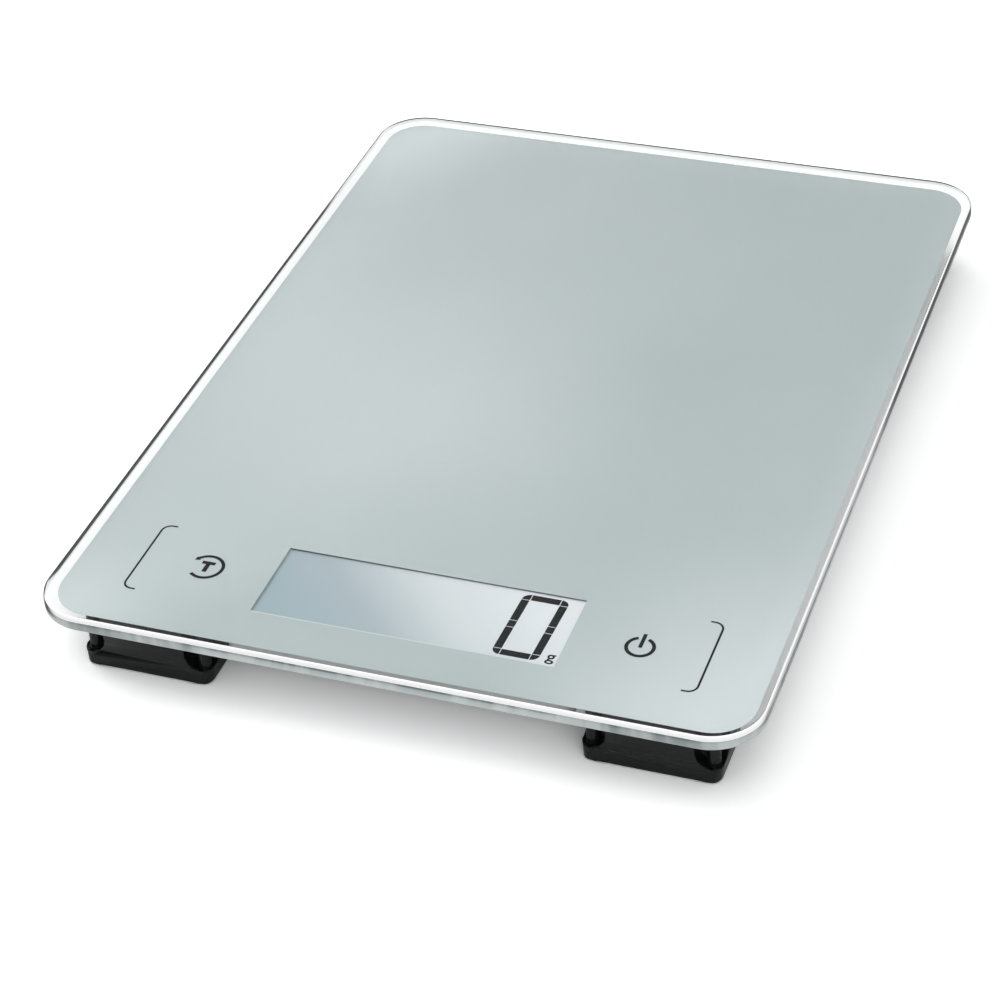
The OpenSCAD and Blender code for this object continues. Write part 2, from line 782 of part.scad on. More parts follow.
// A steel plate with a tongue cut free on three sides, pressed at its middle
module load_cell(side, end) {
    frame_w = 2.5;
    tongue_d = cell_plate_d - 2 * frame_w;
    color([0.78, 0.79, 0.80]) at_foot(side, end) translate([0, 0, cell_plate_z]) {
        linear_extrude(cell_plate_t) difference() {
            square([cell_plate_w, cell_plate_d], center = true);
            translate([0, -cell_plate_d / 2 + frame_w]) difference() {
                translate([-cell_tongue_w / 2 - cell_slot, 0])
                    square([cell_tongue_w + 2 * cell_slot, tongue_d]);
                translate([-cell_tongue_w / 2, cell_slot]) square([cell_tongue_w, tongue_d]);
            }
        }
        translate([0, 0, -dimple_h]) cylinder(h = dimple_h, r = dimple_r);
    }
}

module strain_gauges() {
    gauge_t = 0.2;
    color([0.80, 0.60, 0.20]) for (side = [-1, 1], end = [-1, 1])
        at_foot(side, end) translate([-gauge_w / 2, 0, cell_plate_top])
            cube([gauge_w, gauge_d, gauge_t]);
}

// A round foot with a flange that keeps it in the cover, a stem that presses on the
// load cell, and a seat for the rubber pad
module moving_foot(side, end) {
    color([0.14, 0.14, 0.15]) at_foot(side, end) difference() {
        union() {
            translate([0, 0, pad_z]) cylinder(h = flange_z + flange_t - pad_z, r = plunger_r);
            translate([0, 0, flange_z]) {
                cylinder(h = flange_t, r = plunger_r + flange_w);
                cylinder(h = stem_top - flange_z, r = stem_r);
            }
        }
        translate([0, 0, -cut]) cylinder(h = pad_t + cut, r = pad_r);
    }
}

module foot_pad(side, end) {
    color([0.22, 0.22, 0.23]) at_foot(side, end) {
        cylinder(h = pad_bevel, r1 = pad_r - pad_bevel, r2 = pad_r);
        translate([0, 0, pad_bevel]) cylinder(h = pad_t - pad_bevel, r = pad_r);
    }
}

module foot_tape(side, end) {
    color([0.08, 0.08, 0.08]) at_foot(side, end) translate([0, 0, foot_top]) difference() {
        round_box(foot_w, foot_d, foot_tape_t, foot_r);
        translate([0, 0, -cut]) cylinder(h = foot_tape_t + 2 * cut, r = touch_r + touch_play);
    }
}

// ---- cables ----

// An L-shaped channel, open towards the glass, from the housing to a rear foot
module cable_duct(side) {
    color([0.62, 0.63, 0.64]) translate([0, 0, duct_z]) {
        linear_extrude(duct_h) duct_outline(side);
        linear_extrude(duct_wall) duct_plan(side, duct_wall / 2);
    }
}

// The plan of a duct, drawn in by the given amount at its sides
module duct_plan(side, inset) {
    mirror([side < 0 ? 1 : 0, 0]) {
        translate([duct_x0, duct_y0 + inset])
            square([duct_x + duct_w / 2 - inset - duct_x0, duct_w - 2 * inset]);
        translate([duct_x - duct_w / 2 + inset, duct_y0 + inset])
            square([duct_w - 2 * inset, duct_y1 - duct_y0 - inset]);
    }
}

module duct_outline(side) {
    difference() {
        duct_plan(side, 0);
        duct_plan(side, duct_wall);
    }
}

module duct_tape() {
    color([0.85, 0.83, 0.75]) for (side = [-1, 1])
        translate([0, 0, house_top]) linear_extrude(house_tape_t) duct_outline(side);
}

module front_cable(side) {
    x0 = foot_x - rib_x + rib_w / 2 + notch_r;
    color([0.75, 0.72, 0.65]) cable_run([
        [side * x0, front_cable_y, cell_plate_top],
        [side * x0, front_cable_y, cable_z],
        [side * (house_w / 2 - house_wall - cable_r), front_cable_y, cable_z]], cable_r);
}

module rear_cable(side) {
    y1 = foot_y - cell_plate_d / 2 + 2 * notch_r;
    color([0.75, 0.72, 0.65]) cable_run([
        [side * (pocket_x1 - cable_r), rear_cable_y, cable_z],
        [side * duct_x, rear_cable_y, cable_z],
        [side * duct_x, y1, cable_z],
        [side * duct_x, y1, cell_plate_top]], cable_r);
}

glass_platform();
silver_print();
display_panel();
display_frame();
display_connector_strips();
circuit_board();
processor_cap();
board_components();
board_screws();
touch_electrode(-1);  // left_touch_electrode
touch_electrode(1);  // right_touch_electrode
electronics_housing();
housing_tape();
battery_door();
cell(0);  // battery_1
cell(1);  // battery_2
series_contact();
positive_contact();
negative_contact();
battery_springs();
unit_button();
unit_switch();
switch_board();
foot_housing(-1, -1);  // front_left_housing
foot_housing(1, -1);  // front_right_housing
foot_housing(-1, 1);  // rear_left_housing
foot_housing(1, 1);  // rear_right_housing
foot_cover(-1, -1);  // front_left_cover
foot_cover(1, -1);  // front_right_cover
foot_cover(-1, 1);  // rear_left_cover
foot_cover(1, 1);  // rear_right_cover
load_cell(-1, -1);  // front_left_load_cell
load_cell(1, -1);  // front_right_load_cell
load_cell(-1, 1);  // rear_left_load_cell
load_cell(1, 1);  // rear_right_load_cell
strain_gauges();
moving_foot(-1, -1);  // front_left_foot
moving_foot(1, -1);  // front_right_foot
moving_foot(-1, 1);  // rear_left_foot
moving_foot(1, 1);  // rear_right_foot
foot_pad(-1, -1);  // front_left_pad
foot_pad(1, -1);  // front_right_pad
foot_pad(-1, 1);  // rear_left_pad
foot_pad(1, 1);  // rear_right_pad
foot_tape(-1, -1);  // front_left_tape
foot_tape(1, -1);  // front_right_tape
foot_tape(-1, 1);  // rear_left_tape
foot_tape(1, 1);  // rear_right_tape
cover_screws();
cable_duct(-1);  // left_cable_duct
cable_duct(1);  // right_cable_duct
duct_tape();
front_cable(-1);  // front_left_cable
front_cable(1);  // front_right_cable
rear_cable(-1);  // rear_left_cable
rear_cable(1);  // rear_right_cable
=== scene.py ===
# %% [markdown]
# # A flat kitchen scale
# A plate of toughened glass carries a silver print on its back. Under it sit four
# black sensor feet, a display, a circuit board and a bay for two cells.
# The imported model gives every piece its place, so nothing is moved here. This file
# gives each piece its finish, rounds the moulded edges and adds the fine marks.

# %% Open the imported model
import json
import math

import bmesh
import bpy
from mathutils import Matrix, Vector

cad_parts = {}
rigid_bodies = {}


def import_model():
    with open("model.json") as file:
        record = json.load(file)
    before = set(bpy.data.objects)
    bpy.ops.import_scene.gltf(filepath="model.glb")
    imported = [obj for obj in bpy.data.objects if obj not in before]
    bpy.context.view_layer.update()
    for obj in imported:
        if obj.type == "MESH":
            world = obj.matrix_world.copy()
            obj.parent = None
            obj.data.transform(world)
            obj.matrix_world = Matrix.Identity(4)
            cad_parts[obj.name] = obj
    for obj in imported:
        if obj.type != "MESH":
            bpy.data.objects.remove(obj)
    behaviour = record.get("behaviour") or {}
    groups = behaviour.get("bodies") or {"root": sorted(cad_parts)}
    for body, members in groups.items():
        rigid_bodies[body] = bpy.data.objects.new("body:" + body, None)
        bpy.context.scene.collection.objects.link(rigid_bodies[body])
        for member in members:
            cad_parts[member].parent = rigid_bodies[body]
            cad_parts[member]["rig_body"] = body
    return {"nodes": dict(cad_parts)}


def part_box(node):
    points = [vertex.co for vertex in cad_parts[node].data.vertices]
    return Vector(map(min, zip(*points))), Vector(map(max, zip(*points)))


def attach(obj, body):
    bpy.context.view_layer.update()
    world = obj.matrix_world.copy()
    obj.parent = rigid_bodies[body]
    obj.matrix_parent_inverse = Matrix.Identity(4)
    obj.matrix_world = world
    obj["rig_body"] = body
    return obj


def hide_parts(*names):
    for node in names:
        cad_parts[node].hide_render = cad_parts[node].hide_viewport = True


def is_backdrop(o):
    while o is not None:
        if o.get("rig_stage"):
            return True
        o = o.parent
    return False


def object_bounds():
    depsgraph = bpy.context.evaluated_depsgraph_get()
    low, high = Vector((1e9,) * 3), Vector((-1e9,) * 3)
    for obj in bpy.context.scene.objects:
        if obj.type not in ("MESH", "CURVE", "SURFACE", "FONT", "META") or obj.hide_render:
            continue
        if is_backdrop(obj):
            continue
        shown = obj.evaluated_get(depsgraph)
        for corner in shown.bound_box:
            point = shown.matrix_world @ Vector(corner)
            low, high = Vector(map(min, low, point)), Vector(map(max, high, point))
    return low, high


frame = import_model()
cad_low, cad_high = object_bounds()
nodes = frame["nodes"]
MM = 0.001
print("nodes", len(nodes), "box in mm", [round(v / MM, 1) for v in cad_high - cad_low])

# %% [markdown]
# ## The camera
# A long lens from the front right, a little over half a metre away, keeps the plate's
# sides nearly parallel. The camera's axes are built from plain angles, so that the
# slight tilt of the horizon is a number that can be read and changed.

# %% Place the camera
CAMERA_PLACE = Vector((0.18081, -0.49255, 0.37717))
AZIMUTH, ELEVATION, ROLL = (math.radians(a) for a in (21.477, 36.837, -3.759))

forward = Vector((
    -math.sin(AZIMUTH) * math.cos(ELEVATION),
    math.cos(AZIMUTH) * math.cos(ELEVATION),
    -math.sin(ELEVATION),
))
level = Vector((math.cos(AZIMUTH), math.sin(AZIMUTH), 0))
upright = level.cross(forward)
right = level * math.cos(ROLL) + upright * math.sin(ROLL)
up = upright * math.cos(ROLL) - level * math.sin(ROLL)

camera = bpy.data.objects.new("camera", bpy.data.cameras.new("camera"))
camera.data.lens, camera.data.sensor_width = 100.32, 36
camera.data.clip_start = 0.01
camera.matrix_world = Matrix.Translation(CAMERA_PLACE) @ Matrix(
    (right, up, -forward)
).transposed().to_4x4()
bpy.context.scene.collection.objects.link(camera)
bpy.context.scene.camera = camera
bpy.context.scene.view_settings.view_transform = "Standard"
print("camera looks along", [round(v, 3) for v in forward])

# %% [markdown]
# ## Shader sums in Python
# Finishes are easier to read as arithmetic than as a web of nodes. `Wire` stands for
# one socket. Adding or multiplying wires adds Math nodes, and `node` adds any other
# kind, with its settings first and its inputs after them.


# %% Define the socket wrapper
class Wire:
    """One socket of a material's node tree, used like a number."""

    def __init__(self, tree, socket=None):
        self.tree, self.socket = tree, socket

    def node(self, kind, settings=None, inputs=None, out=0):
        """Adds any node: its settings first, then its inputs' values or links."""
        made = self.tree.nodes.new(kind)
        for key, value in (settings or {}).items():
            if key == "stops":
                self.set_stops(made.color_ramp, value)
            else:
                setattr(made, key, value)
        for key, value in (inputs or {}).items():
            if isinstance(value, Wire):
                self.tree.links.new(value.socket, made.inputs[key])
            else:
                made.inputs[key].default_value = value
        return Wire(self.tree, made.outputs[out])

    def close(self, shader, kind="ShaderNodeOutputMaterial"):
        """Joins the last shader to the tree's output."""
        self.tree.links.new(shader.socket, self.tree.nodes.new(kind).inputs["Surface"])
        return shader

    @staticmethod
    def set_stops(ramp, stops):
        """Gives a colour ramp its stops, from the lowest to the highest."""
        (first, low), *middle, (last, high) = stops
        ramp.elements[0].position, ramp.elements[0].color = first, low
        ramp.elements[1].position, ramp.elements[1].color = last, high
        for place, shade in middle:
            ramp.elements.new(place).color = shade

    def sum(self, operation, *values):
        """A Math node on wires and plain numbers."""
        return self.node("ShaderNodeMath", {"operation": operation}, dict(enumerate(values)))

    def __add__(self, other):
        return self.sum("ADD", self, other)

    def __radd__(self, other):
        return self.sum("ADD", other, self)

    def __sub__(self, other):
        return self.sum("SUBTRACT", self, other)

    def __rsub__(self, other):
        return self.sum("SUBTRACT", other, self)

    def __mul__(self, other):
        return self.sum("MULTIPLY", self, other)

    def __rmul__(self, other):
        return self.sum("MULTIPLY", other, self)

    def __gt__(self, other):
        return self.sum("GREATER_THAN", self, other)

    def __lt__(self, other):
        return self.sum("LESS_THAN", self, other)


print("wire ready")


# %% Define the nodes that most finishes share
def new_finish(name):
    """An empty material and the wire that its nodes hang on."""
    material = bpy.data.materials.new(name)
    material.use_nodes = True
    material.node_tree.nodes.clear()
    return material, Wire(material.node_tree)


def rgb(red, green, blue):
    """A solid colour."""
    return (red, green, blue, 1)


def place(wire):
    """The point on the piece, in metres."""
    return wire.node("ShaderNodeTexCoord", out="Object")


def axes(wire):
    """The same point's three distances along X, Y and Z."""
    split = wire.node("ShaderNodeSeparateXYZ", None, {0: place(wire)})
    return tuple(Wire(wire.tree, split.socket.node.outputs[axis]) for axis in "XYZ")


def vector_sum(wire, operation, *values, out=0):
    """A Vector Math node, which keeps X, Y and Z apart."""
    return wire.node(
        "ShaderNodeVectorMath", {"operation": operation}, dict(enumerate(values)), out
    )


def noise(wire, size, detail=2.0, stretch=None):
    """Soft random patches about `size` metres across, from 0 to 1."""
    where = place(wire)
    if stretch:
        where = vector_sum(wire, "MULTIPLY", where, stretch)
    return wire.node(
        "ShaderNodeTexNoise", None, {"Vector": where, "Scale": 1 / size, "Detail": detail}
    )


def blend(wire, amount, one, other):
    """One colour turning into another."""
    inputs = {0: amount, 6: one, 7: other}
    return wire.node("ShaderNodeMix", {"data_type": "RGBA"}, inputs, out=2)


def remap(wire, value, low, high, new_low=0.0, new_high=1.0):
    """Carries the range from `low` to `high` over to a new one, and stops at its ends."""
    inputs = {0: value, 1: low, 2: high, 3: new_low, 4: new_high}
    return wire.node("ShaderNodeMapRange", {"clamp": True}, inputs)


def soft(wire, value, low, high):
    """Rises gently from 0 at `low` to 1 at `high`."""
    return wire.node(
        "ShaderNodeMapRange", {"clamp": True, "interpolation_type": "SMOOTHSTEP"},
        {0: value, 1: low, 2: high, 3: 0.0, 4: 1.0},
    )


def near(wire, x, y, reach_x, reach_y):
    """1 at a point of the plate's plan, falling softly to 0 at the given reach."""
    shifted = vector_sum(wire, "SUBTRACT", place(wire), (x, y, 0))
    scaled = vector_sum(wire, "MULTIPLY", shifted, (1 / reach_x, 1 / reach_y, 0))
    return soft(wire, vector_sum(wire, "LENGTH", scaled, out="Value"), 1.0, 0.0)


def bump(wire, height, depth):
    """Small dents from a pattern, `depth` metres deep."""
    return wire.node("ShaderNodeBump", None, {"Height": height, "Distance": depth})


def principled(wire, **inputs):
    """A Principled shader. Its inputs' names are written with _ for spaces."""
    named = {key.replace("_", " "): value for key, value in inputs.items()}
    return wire.node("ShaderNodeBsdfPrincipled", None, named, out="BSDF")


def surface(wire, **inputs):
    """A Principled shader, joined to the material's output."""
    return wire.close(principled(wire, **inputs))


print("shared nodes ready")

# %% [markdown]
# ## Floor and background
# The scale stands on a plain white table. The floor is an ordinary matt white, so it
# keeps the soft shadow. To the eye and to rays that pass through glass it also glows a
# little, and more with distance, which lifts it to paper white without more light on
# the object. The strip that shows through the clear rim between the front feet glows a
# little more: a painted pool of light on the floor. An eye below the table looks
# through it, at the scale's underside.

# %% Make the floor
floor_mesh = bpy.data.meshes.new("floor")
work = bmesh.new()
bmesh.ops.create_grid(work, x_segments=1, y_segments=1, size=4)
work.to_mesh(floor_mesh)
work.free()
floor = bpy.data.objects.new("floor", floor_mesh)
bpy.context.scene.collection.objects.link(floor)
floor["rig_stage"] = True

FLOOR_SHADE, SEEN_SHADE = 0.78, 1.36
FLOOR_LIFT, FAR_LIFT, RIM_LIFT = 0.07, 0.65, 0.12
LIFT_FROM, LIFT_UNTIL = 0.20, 1.0
# where the lift under the clear rim fades in: across, behind the rim and before it
RIM_ACROSS, RIM_REAR, RIM_FRONT = (52 * MM, 44 * MM), (-74 * MM, -86 * MM), (-116 * MM, -108 * MM)

floor_finish, wire = new_finish("white_table")
seen = wire.node("ShaderNodeLightPath", out="Is Camera Ray")
through = wire.node("ShaderNodeLightPath", out="Is Transmission Ray")
away = vector_sum(wire, "LENGTH", place(wire), out="Value")
glow = remap(wire, away, LIFT_FROM, LIFT_UNTIL, FLOOR_LIFT, FAR_LIFT)
shown = wire.sum("MAXIMUM", seen, through)
paper = blend(wire, shown, rgb(*[FLOOR_SHADE] * 3), rgb(*[SEEN_SHADE] * 3))
matt = wire.node("ShaderNodeBsdfDiffuse", None, {"Color": paper})
across, along, _ = axes(wire)
between_feet = soft(wire, wire.sum("ABSOLUTE", across), *RIM_ACROSS)
under_rim = soft(wire, along, *RIM_REAR) * soft(wire, along, *RIM_FRONT)
# the strip under the clear rim gets a painted pool of light, seen only through glass
glow = shown * glow + through * between_feet * under_rim * RIM_LIFT
lift = wire.node("ShaderNodeEmission", None, {"Color": rgb(1, 1, 1), "Strength": glow})
from_below = seen * wire.node("ShaderNodeNewGeometry", out="Backfacing")
wire.close(wire.node("ShaderNodeMixShader", None, {
    0: from_below, 1: wire.node("ShaderNodeAddShader", None, {0: matt, 1: lift}),
    2: wire.node("ShaderNodeBsdfTransparent"),
}))
floor_mesh.materials.append(floor_finish)
print("floor", len(floor_mesh.polygons), "face")

# %% [markdown]
# ## Studio light
# Three large soft boxes and a pale room. The front box only fills shadows, so gloss
# doesn't mirror it. The world lights the object at a moderate level and is white to the
# camera and through glass. To reflections, and to light that a glass's lower face sends
# back up, it is much darker, as a studio with black cloth overhead is. That keeps gloss
# and ink black under the polished glass.

# %% Set the room's light
ROOM_LIGHT, MIRRORED_ROOM = 0.45, 0.20
RISING = 0.1  # how steeply a ray climbs before it counts as sent back up
room = bpy.data.worlds.new("pale_room")
bpy.context.scene.world = room
room.use_nodes = True
room.node_tree.nodes.clear()
wire = Wire(room.node_tree)
seen = wire.node("ShaderNodeLightPath", out="Is Camera Ray")
mirrored = wire.node("ShaderNodeLightPath", out="Is Glossy Ray")
through = wire.node("ShaderNodeLightPath", out="Is Transmission Ray")
towards = wire.node("ShaderNodeTexCoord", out="Generated")
upward = wire.node("ShaderNodeSeparateXYZ", None, {0: towards}, out="Z") > RISING
bounced = wire.sum("MAXIMUM", mirrored, through * upward)
plain = remap(wire, bounced, 0.0, 1.0, ROOM_LIGHT, MIRRORED_ROOM)
strength = wire.sum("MAXIMUM", plain, wire.sum("MAXIMUM", seen, through * (1 - upward)))
sky = wire.node("ShaderNodeBackground", None, {"Color": rgb(1, 1, 1), "Strength": strength})
wire.close(sky, "ShaderNodeOutputWorld")
print("room light", ROOM_LIGHT)


# %% Hang the soft boxes
def soft_box(name, where, size, power):
    """A square area lamp that faces the middle of the table."""
    lamp = bpy.data.lights.new(name, "AREA")
    lamp.shape, lamp.size, lamp.energy = "SQUARE", size, power
    box = bpy.data.objects.new(name, lamp)
    box.location = where
    box.rotation_euler = (-Vector(where)).to_track_quat("-Z", "Y").to_euler()
    bpy.context.scene.collection.objects.link(box)
    return box


soft_box("top_box", (0.1, -0.1, 1.7), 1.5, 8)
soft_box("left_box", (-1.5, 0.55, 1.25), 1.2, 12)
soft_box("front_box", (1.1, -1.3, 1.0), 1.0, 6).visible_glossy = False

# %% [markdown]
# ## Moulded plastic
# Most of the scale is injection-moulded plastic. What tells one piece from another is
# its tool: a polished tool leaves a gloss with a faint ripple, and a spark-eroded tool
# leaves a fine even grain. One function covers both, with the grain's size and depth,
# the gloss and a slight unevenness of shade as its values.

# %% Define moulded plastic
def moulded(name, colour, roughness, grain, depth, uneven=0.12, shine=0.5):
    """Plastic from a mould; grain and depth are in metres."""
    material, wire = new_finish(name)
    shade = noise(wire, 0.012, 3.0)
    darker = rgb(*(c * (1 - uneven) for c in colour))
    lighter = rgb(*(min(1.0, c * (1 + uneven)) for c in colour))
    pits = noise(wire, grain, 2.0)
    rub = noise(wire, 0.004, 4.0, stretch=(1, 3, 1))
    surface(
        wire,
        Base_Color=blend(wire, remap(wire, shade, 0.3, 0.7), darker, lighter),
        Roughness=remap(wire, rub, 0.3, 0.75, roughness * 0.85, roughness * 1.2),
        Specular_IOR_Level=shine,
        Normal=bump(wire, pits, depth),
    )
    return material


PLASTICS = {
    "foot_gloss": ("gloss_black_feet", (0.009, 0.010, 0.010), 0.14, 0.0016, 0.000004, 0.12, 0.3),
    "foot_plastic": ("satin_black_feet", (0.020, 0.020, 0.021), 0.42, 0.0005, 0.00001),
    "housing_plastic": ("grained_grey_housing", (0.55, 0.57, 0.57), 0.52, 0.00035, 0.00003, 0.05),
    "button_plastic": ("button_grey", (0.028, 0.029, 0.030), 0.40, 0.0004, 0.00001),
    "switch_plastic": ("switch_black", (0.016, 0.016, 0.017), 0.35, 0.0006, 0.00001),
    "white_plastic": ("white_frame", (0.72, 0.73, 0.72), 0.45, 0.0005, 0.00001, 0.04),
    "pad_rubber": ("pad_rubber", (0.028, 0.028, 0.029), 0.85, 0.0003, 0.00003),
    "cable_sheath": ("cable_sheath", (0.62, 0.63, 0.62), 0.50, 0.0006, 0.00001, 0.05),
    "component_body": ("component_body", (0.45, 0.36, 0.22), 0.45, 0.0004, 0.00001, 0.3),
    "black_resin": ("black_resin", (0.012, 0.012, 0.012), 0.22, 0.002, 0.00004),
}
finishes = {key: moulded(*values) for key, values in PLASTICS.items()}
print("plastics", len(finishes))

# %% [markdown]
# ## Metal
# The screws are zinc plated, the load cells are rolled spring steel, the battery
# contacts are nickel plated and the touch keys sense through copper foil. All are
# metals with a fine streak from rolling or turning.

# %% Define plated and rolled metal
def plated(name, colour, roughness, streak, depth):
    """Metal with fine streaks along X; streak and depth are in metres."""
    material, wire = new_finish(name)
    lines = noise(wire, streak, 2.0, stretch=(1, 12, 12))
    cloud = noise(wire, 0.003, 3.0)
    darker = rgb(*(c * 0.85 for c in colour))
    surface(
        wire,
        Base_Color=blend(wire, remap(wire, cloud, 0.35, 0.7), rgb(*colour), darker),
        Metallic=1.0,
        Roughness=remap(wire, lines, 0.3, 0.7, roughness * 0.75, roughness * 1.3),
        Normal=bump(wire, lines, depth),
    )
    return material


METALS = {
    "screw_steel": ("zinc_screws", (0.62, 0.63, 0.64), 0.28, 0.0004, 0.000006),
    "sprung_steel": ("rolled_steel", (0.52, 0.51, 0.49), 0.32, 0.0012, 0.000008),
    "nickel_plate": ("nickel_contacts", (0.66, 0.63, 0.56), 0.22, 0.0008, 0.000004),
    "copper_foil": ("copper_foil", (0.82, 0.44, 0.28), 0.34, 0.0012, 0.000006),
}
finishes.update({key: plated(*values) for key, values in METALS.items()})
print("metals", len(METALS))

# %% [markdown]
# ## Tapes, board and small parts
# Foam tape has open bubbles, the board is green lacquer over copper tracks, the
# connector strip is made of thin conducting and insulating layers, and a strain gauge
# is a metal grid on an amber film.

# %% Mix the tape, board and strip finishes
BUBBLES, TRACKS, LAYERS, GRID_LINES = 1800.0, 420.0, 1500.0, 500.0  # all per metre


def foam(name, colour):
    """Foam with open bubbles, with painted shade inside them."""
    material, wire = new_finish(name)
    bubbles = wire.node(
        "ShaderNodeTexVoronoi", {"feature": "F1"}, {"Vector": place(wire), "Scale": BUBBLES}
    )
    surface(
        wire,
        # painted shade: each bubble is darker towards its middle
        Base_Color=blend(wire, bubbles, rgb(*(c * 0.6 for c in colour)), rgb(*colour)),
        Roughness=0.9,
        Normal=bump(wire, bubbles, 0.0001),
    )
    return material


def bands(wire, per_metre):
    """Straight bands across X, from 0 to 1."""
    return wire.node(
        "ShaderNodeTexWave", {"bands_direction": "X"},
        {"Vector": place(wire), "Scale": per_metre, "Distortion": 0.0}, out="Fac",
    )


finishes["white_tape"] = foam("white_foam", (0.70, 0.70, 0.68))
finishes["black_tape"] = foam("black_foam", (0.03, 0.03, 0.03))

board, wire = new_finish("green_board")
tracks = wire.node(
    "ShaderNodeTexBrick", {"offset": 0.5},
    {"Vector": place(wire), "Scale": TRACKS, "Mortar Size": 0.03, "Color1": rgb(1, 1, 1),
     "Color2": rgb(1, 1, 1), "Mortar": rgb(0, 0, 0)}, out="Fac",
)
surface(
    wire,
    Base_Color=blend(wire, tracks, rgb(0.012, 0.10, 0.035), rgb(0.03, 0.19, 0.06)),
    Roughness=remap(wire, noise(wire, 0.002), 0.3, 0.7, 0.22, 0.34),
    Normal=bump(wire, tracks, 0.00004),
)
finishes["green_board"] = board

strip, wire = new_finish("striped_rubber")
rubber = blend(wire, bands(wire, LAYERS), rgb(0.02, 0.02, 0.02), rgb(0.55, 0.30, 0.28))
surface(wire, Base_Color=rubber, Roughness=0.7)
finishes["strip_rubber"] = strip

gauge, wire = new_finish("gauge_film")
grid = bands(wire, GRID_LINES) > 0.6
surface(
    wire,
    Base_Color=blend(wire, grid, rgb(0.50, 0.30, 0.08), rgb(0.50, 0.46, 0.40)),
    Metallic=grid * 0.8, Roughness=0.35,
)
finishes["gauge_film"] = gauge
print("finishes so far", sorted(finishes))

# %% [markdown]
# ## The two cells
# A dry cell has a printed film sleeve, dark over most of its length with a copper band
# at the positive end, and bare steel ends. The sleeve's bands follow the cell's length,
# so they are cut from the distance along X. The sleeve carries no words.

# %% Dress the cells
BAND, BARE_FOOT, BARE_HEAD = 0.30, 0.0006, 0.0016
cell_low, cell_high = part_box("battery_1")
jacket, wire = new_finish("cell_sleeve")
along = axes(wire)[0]
span = cell_high.x - cell_low.x
positive = along > (cell_high.x - BAND * span)
bare = wire.sum(
    "MAXIMUM", along < (cell_low.x + BARE_FOOT), along > (cell_high.x - BARE_HEAD)
)
film = blend(wire, positive, rgb(0.012, 0.013, 0.016), rgb(0.55, 0.27, 0.11))
surface(
    wire,
    Base_Color=blend(wire, bare, film, rgb(0.62, 0.62, 0.61)),
    Metallic=wire.sum("MAXIMUM", bare, positive * 0.7),
    Roughness=remap(wire, noise(wire, 0.002), 0.3, 0.7, 0.24, 0.36),
)
finishes["cell_jacket"] = jacket
print("cell length in mm", round(span / MM, 1))

# %% [markdown]
# ## Silver print
# The plate's colour is printed on the back of the glass: fine metal flake in a pale
# grey-green binder. It is mostly a paint and a little a metal, so a studio's lamps
# spread on it into broad soft glows. Three plain lamps don't give those, so the finish
# holds them itself, as paler places that stay put on the plate. The flake shows as a
# grain of about a tenth of a millimetre. A thin pale line along the window's front
# stands for the light on its cut edge.

# %% Mix the silver print
HALF_W, HALF_D = cad_high.x, cad_high.y
WINDOW_FRONT, WINDOW_REAR = -93.7 * MM, -72.0 * MM
WINDOW_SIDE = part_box("display_panel")[1].x - 1.5 * MM
# a painted sheen, paler in bands along the right and the rear
RIM_FROM, RIM_UNTIL = 9 * MM, 3 * MM  # a paler band along the right and the rear
# each soft glow in mm: x, y, its reach in x and in y; then how much paler it is
GLOWS = (
    (-26, -14, 62, 70, 0.40), (78, -108, 66, 80, 1.05), (-78, -108, 38, 34, 0.50),
    (-78, 108, 44, 50, 0.85), (-78, 20, 40, 100, 0.22), (-18, -108, 72, 32, -0.40),
)

silver, wire = new_finish("silver_print")
flake = noise(wire, 0.00012, 2.0)
cloud = noise(wire, 0.05, 2.0)
across, along, _ = axes(wire)
# painted sheen: the print is painted paler towards the left, at each glow and along the right and
# rear
sheen = 0.06 + remap(wire, across, 0.4 * HALF_W, -HALF_W) * 0.34
for *spot, paler in GLOWS:
    sheen = sheen + near(wire, *(v * MM for v in spot)) * paler
sheen = (
    sheen + soft(wire, across, HALF_W - RIM_FROM, HALF_W - RIM_UNTIL) * 0.16
    + soft(wire, along, HALF_D - RIM_FROM, HALF_D - RIM_UNTIL) * 0.14
    + remap(wire, cloud, 0.3, 0.7, -0.06, 0.06)
)
grey = blend(wire, sheen, rgb(0.610, 0.658, 0.676), rgb(0.875, 0.905, 0.930))
cut_edge = (
    (along > WINDOW_FRONT - 0.24 * MM) * (along < WINDOW_FRONT + 0.05 * MM)
    * (wire.sum("ABSOLUTE", across) < WINDOW_SIDE)
)
grey = blend(wire, cut_edge * 0.7, grey, rgb(0.95, 0.98, 0.98))
surface(
    wire,
    Base_Color=blend(wire, remap(wire, flake, 0.3, 0.7) * 0.06, grey, rgb(0.20, 0.22, 0.23)),
    Metallic=0.10,
    Roughness=remap(wire, flake, 0.2, 0.8, 0.42, 0.56),
    Normal=bump(wire, flake, 0.000004),
)
finishes["silver_print"] = silver
print("silver print ready")

# %% [markdown]
# ## Display
# A reflective liquid crystal panel is a sheet of glass over a brushed foil. It mirrors
# more light at one side than at the other, and the finish holds that itself, from
# blue-grey on the left to nearly white on the right, with a fine speckle. A thin dark
# band stands for the shadow under the window's rear edge. It lies where a sight line
# from the front, a little above the plate, meets the sunk panel. A little emission
# stands for the light that the foil sends back.

# %% Mix the display's finish
panel_low, panel_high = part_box("display_panel")
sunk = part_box("silver_print")[0].z - panel_high.z
SIGHT_SLOPE = 1.33  # how far that sight line runs rearwards for each step down
SHEEN_LEAN, SPECKLE_REACH = 0.95, 4 * MM
last_seen = WINDOW_REAR + SIGHT_SLOPE * sunk

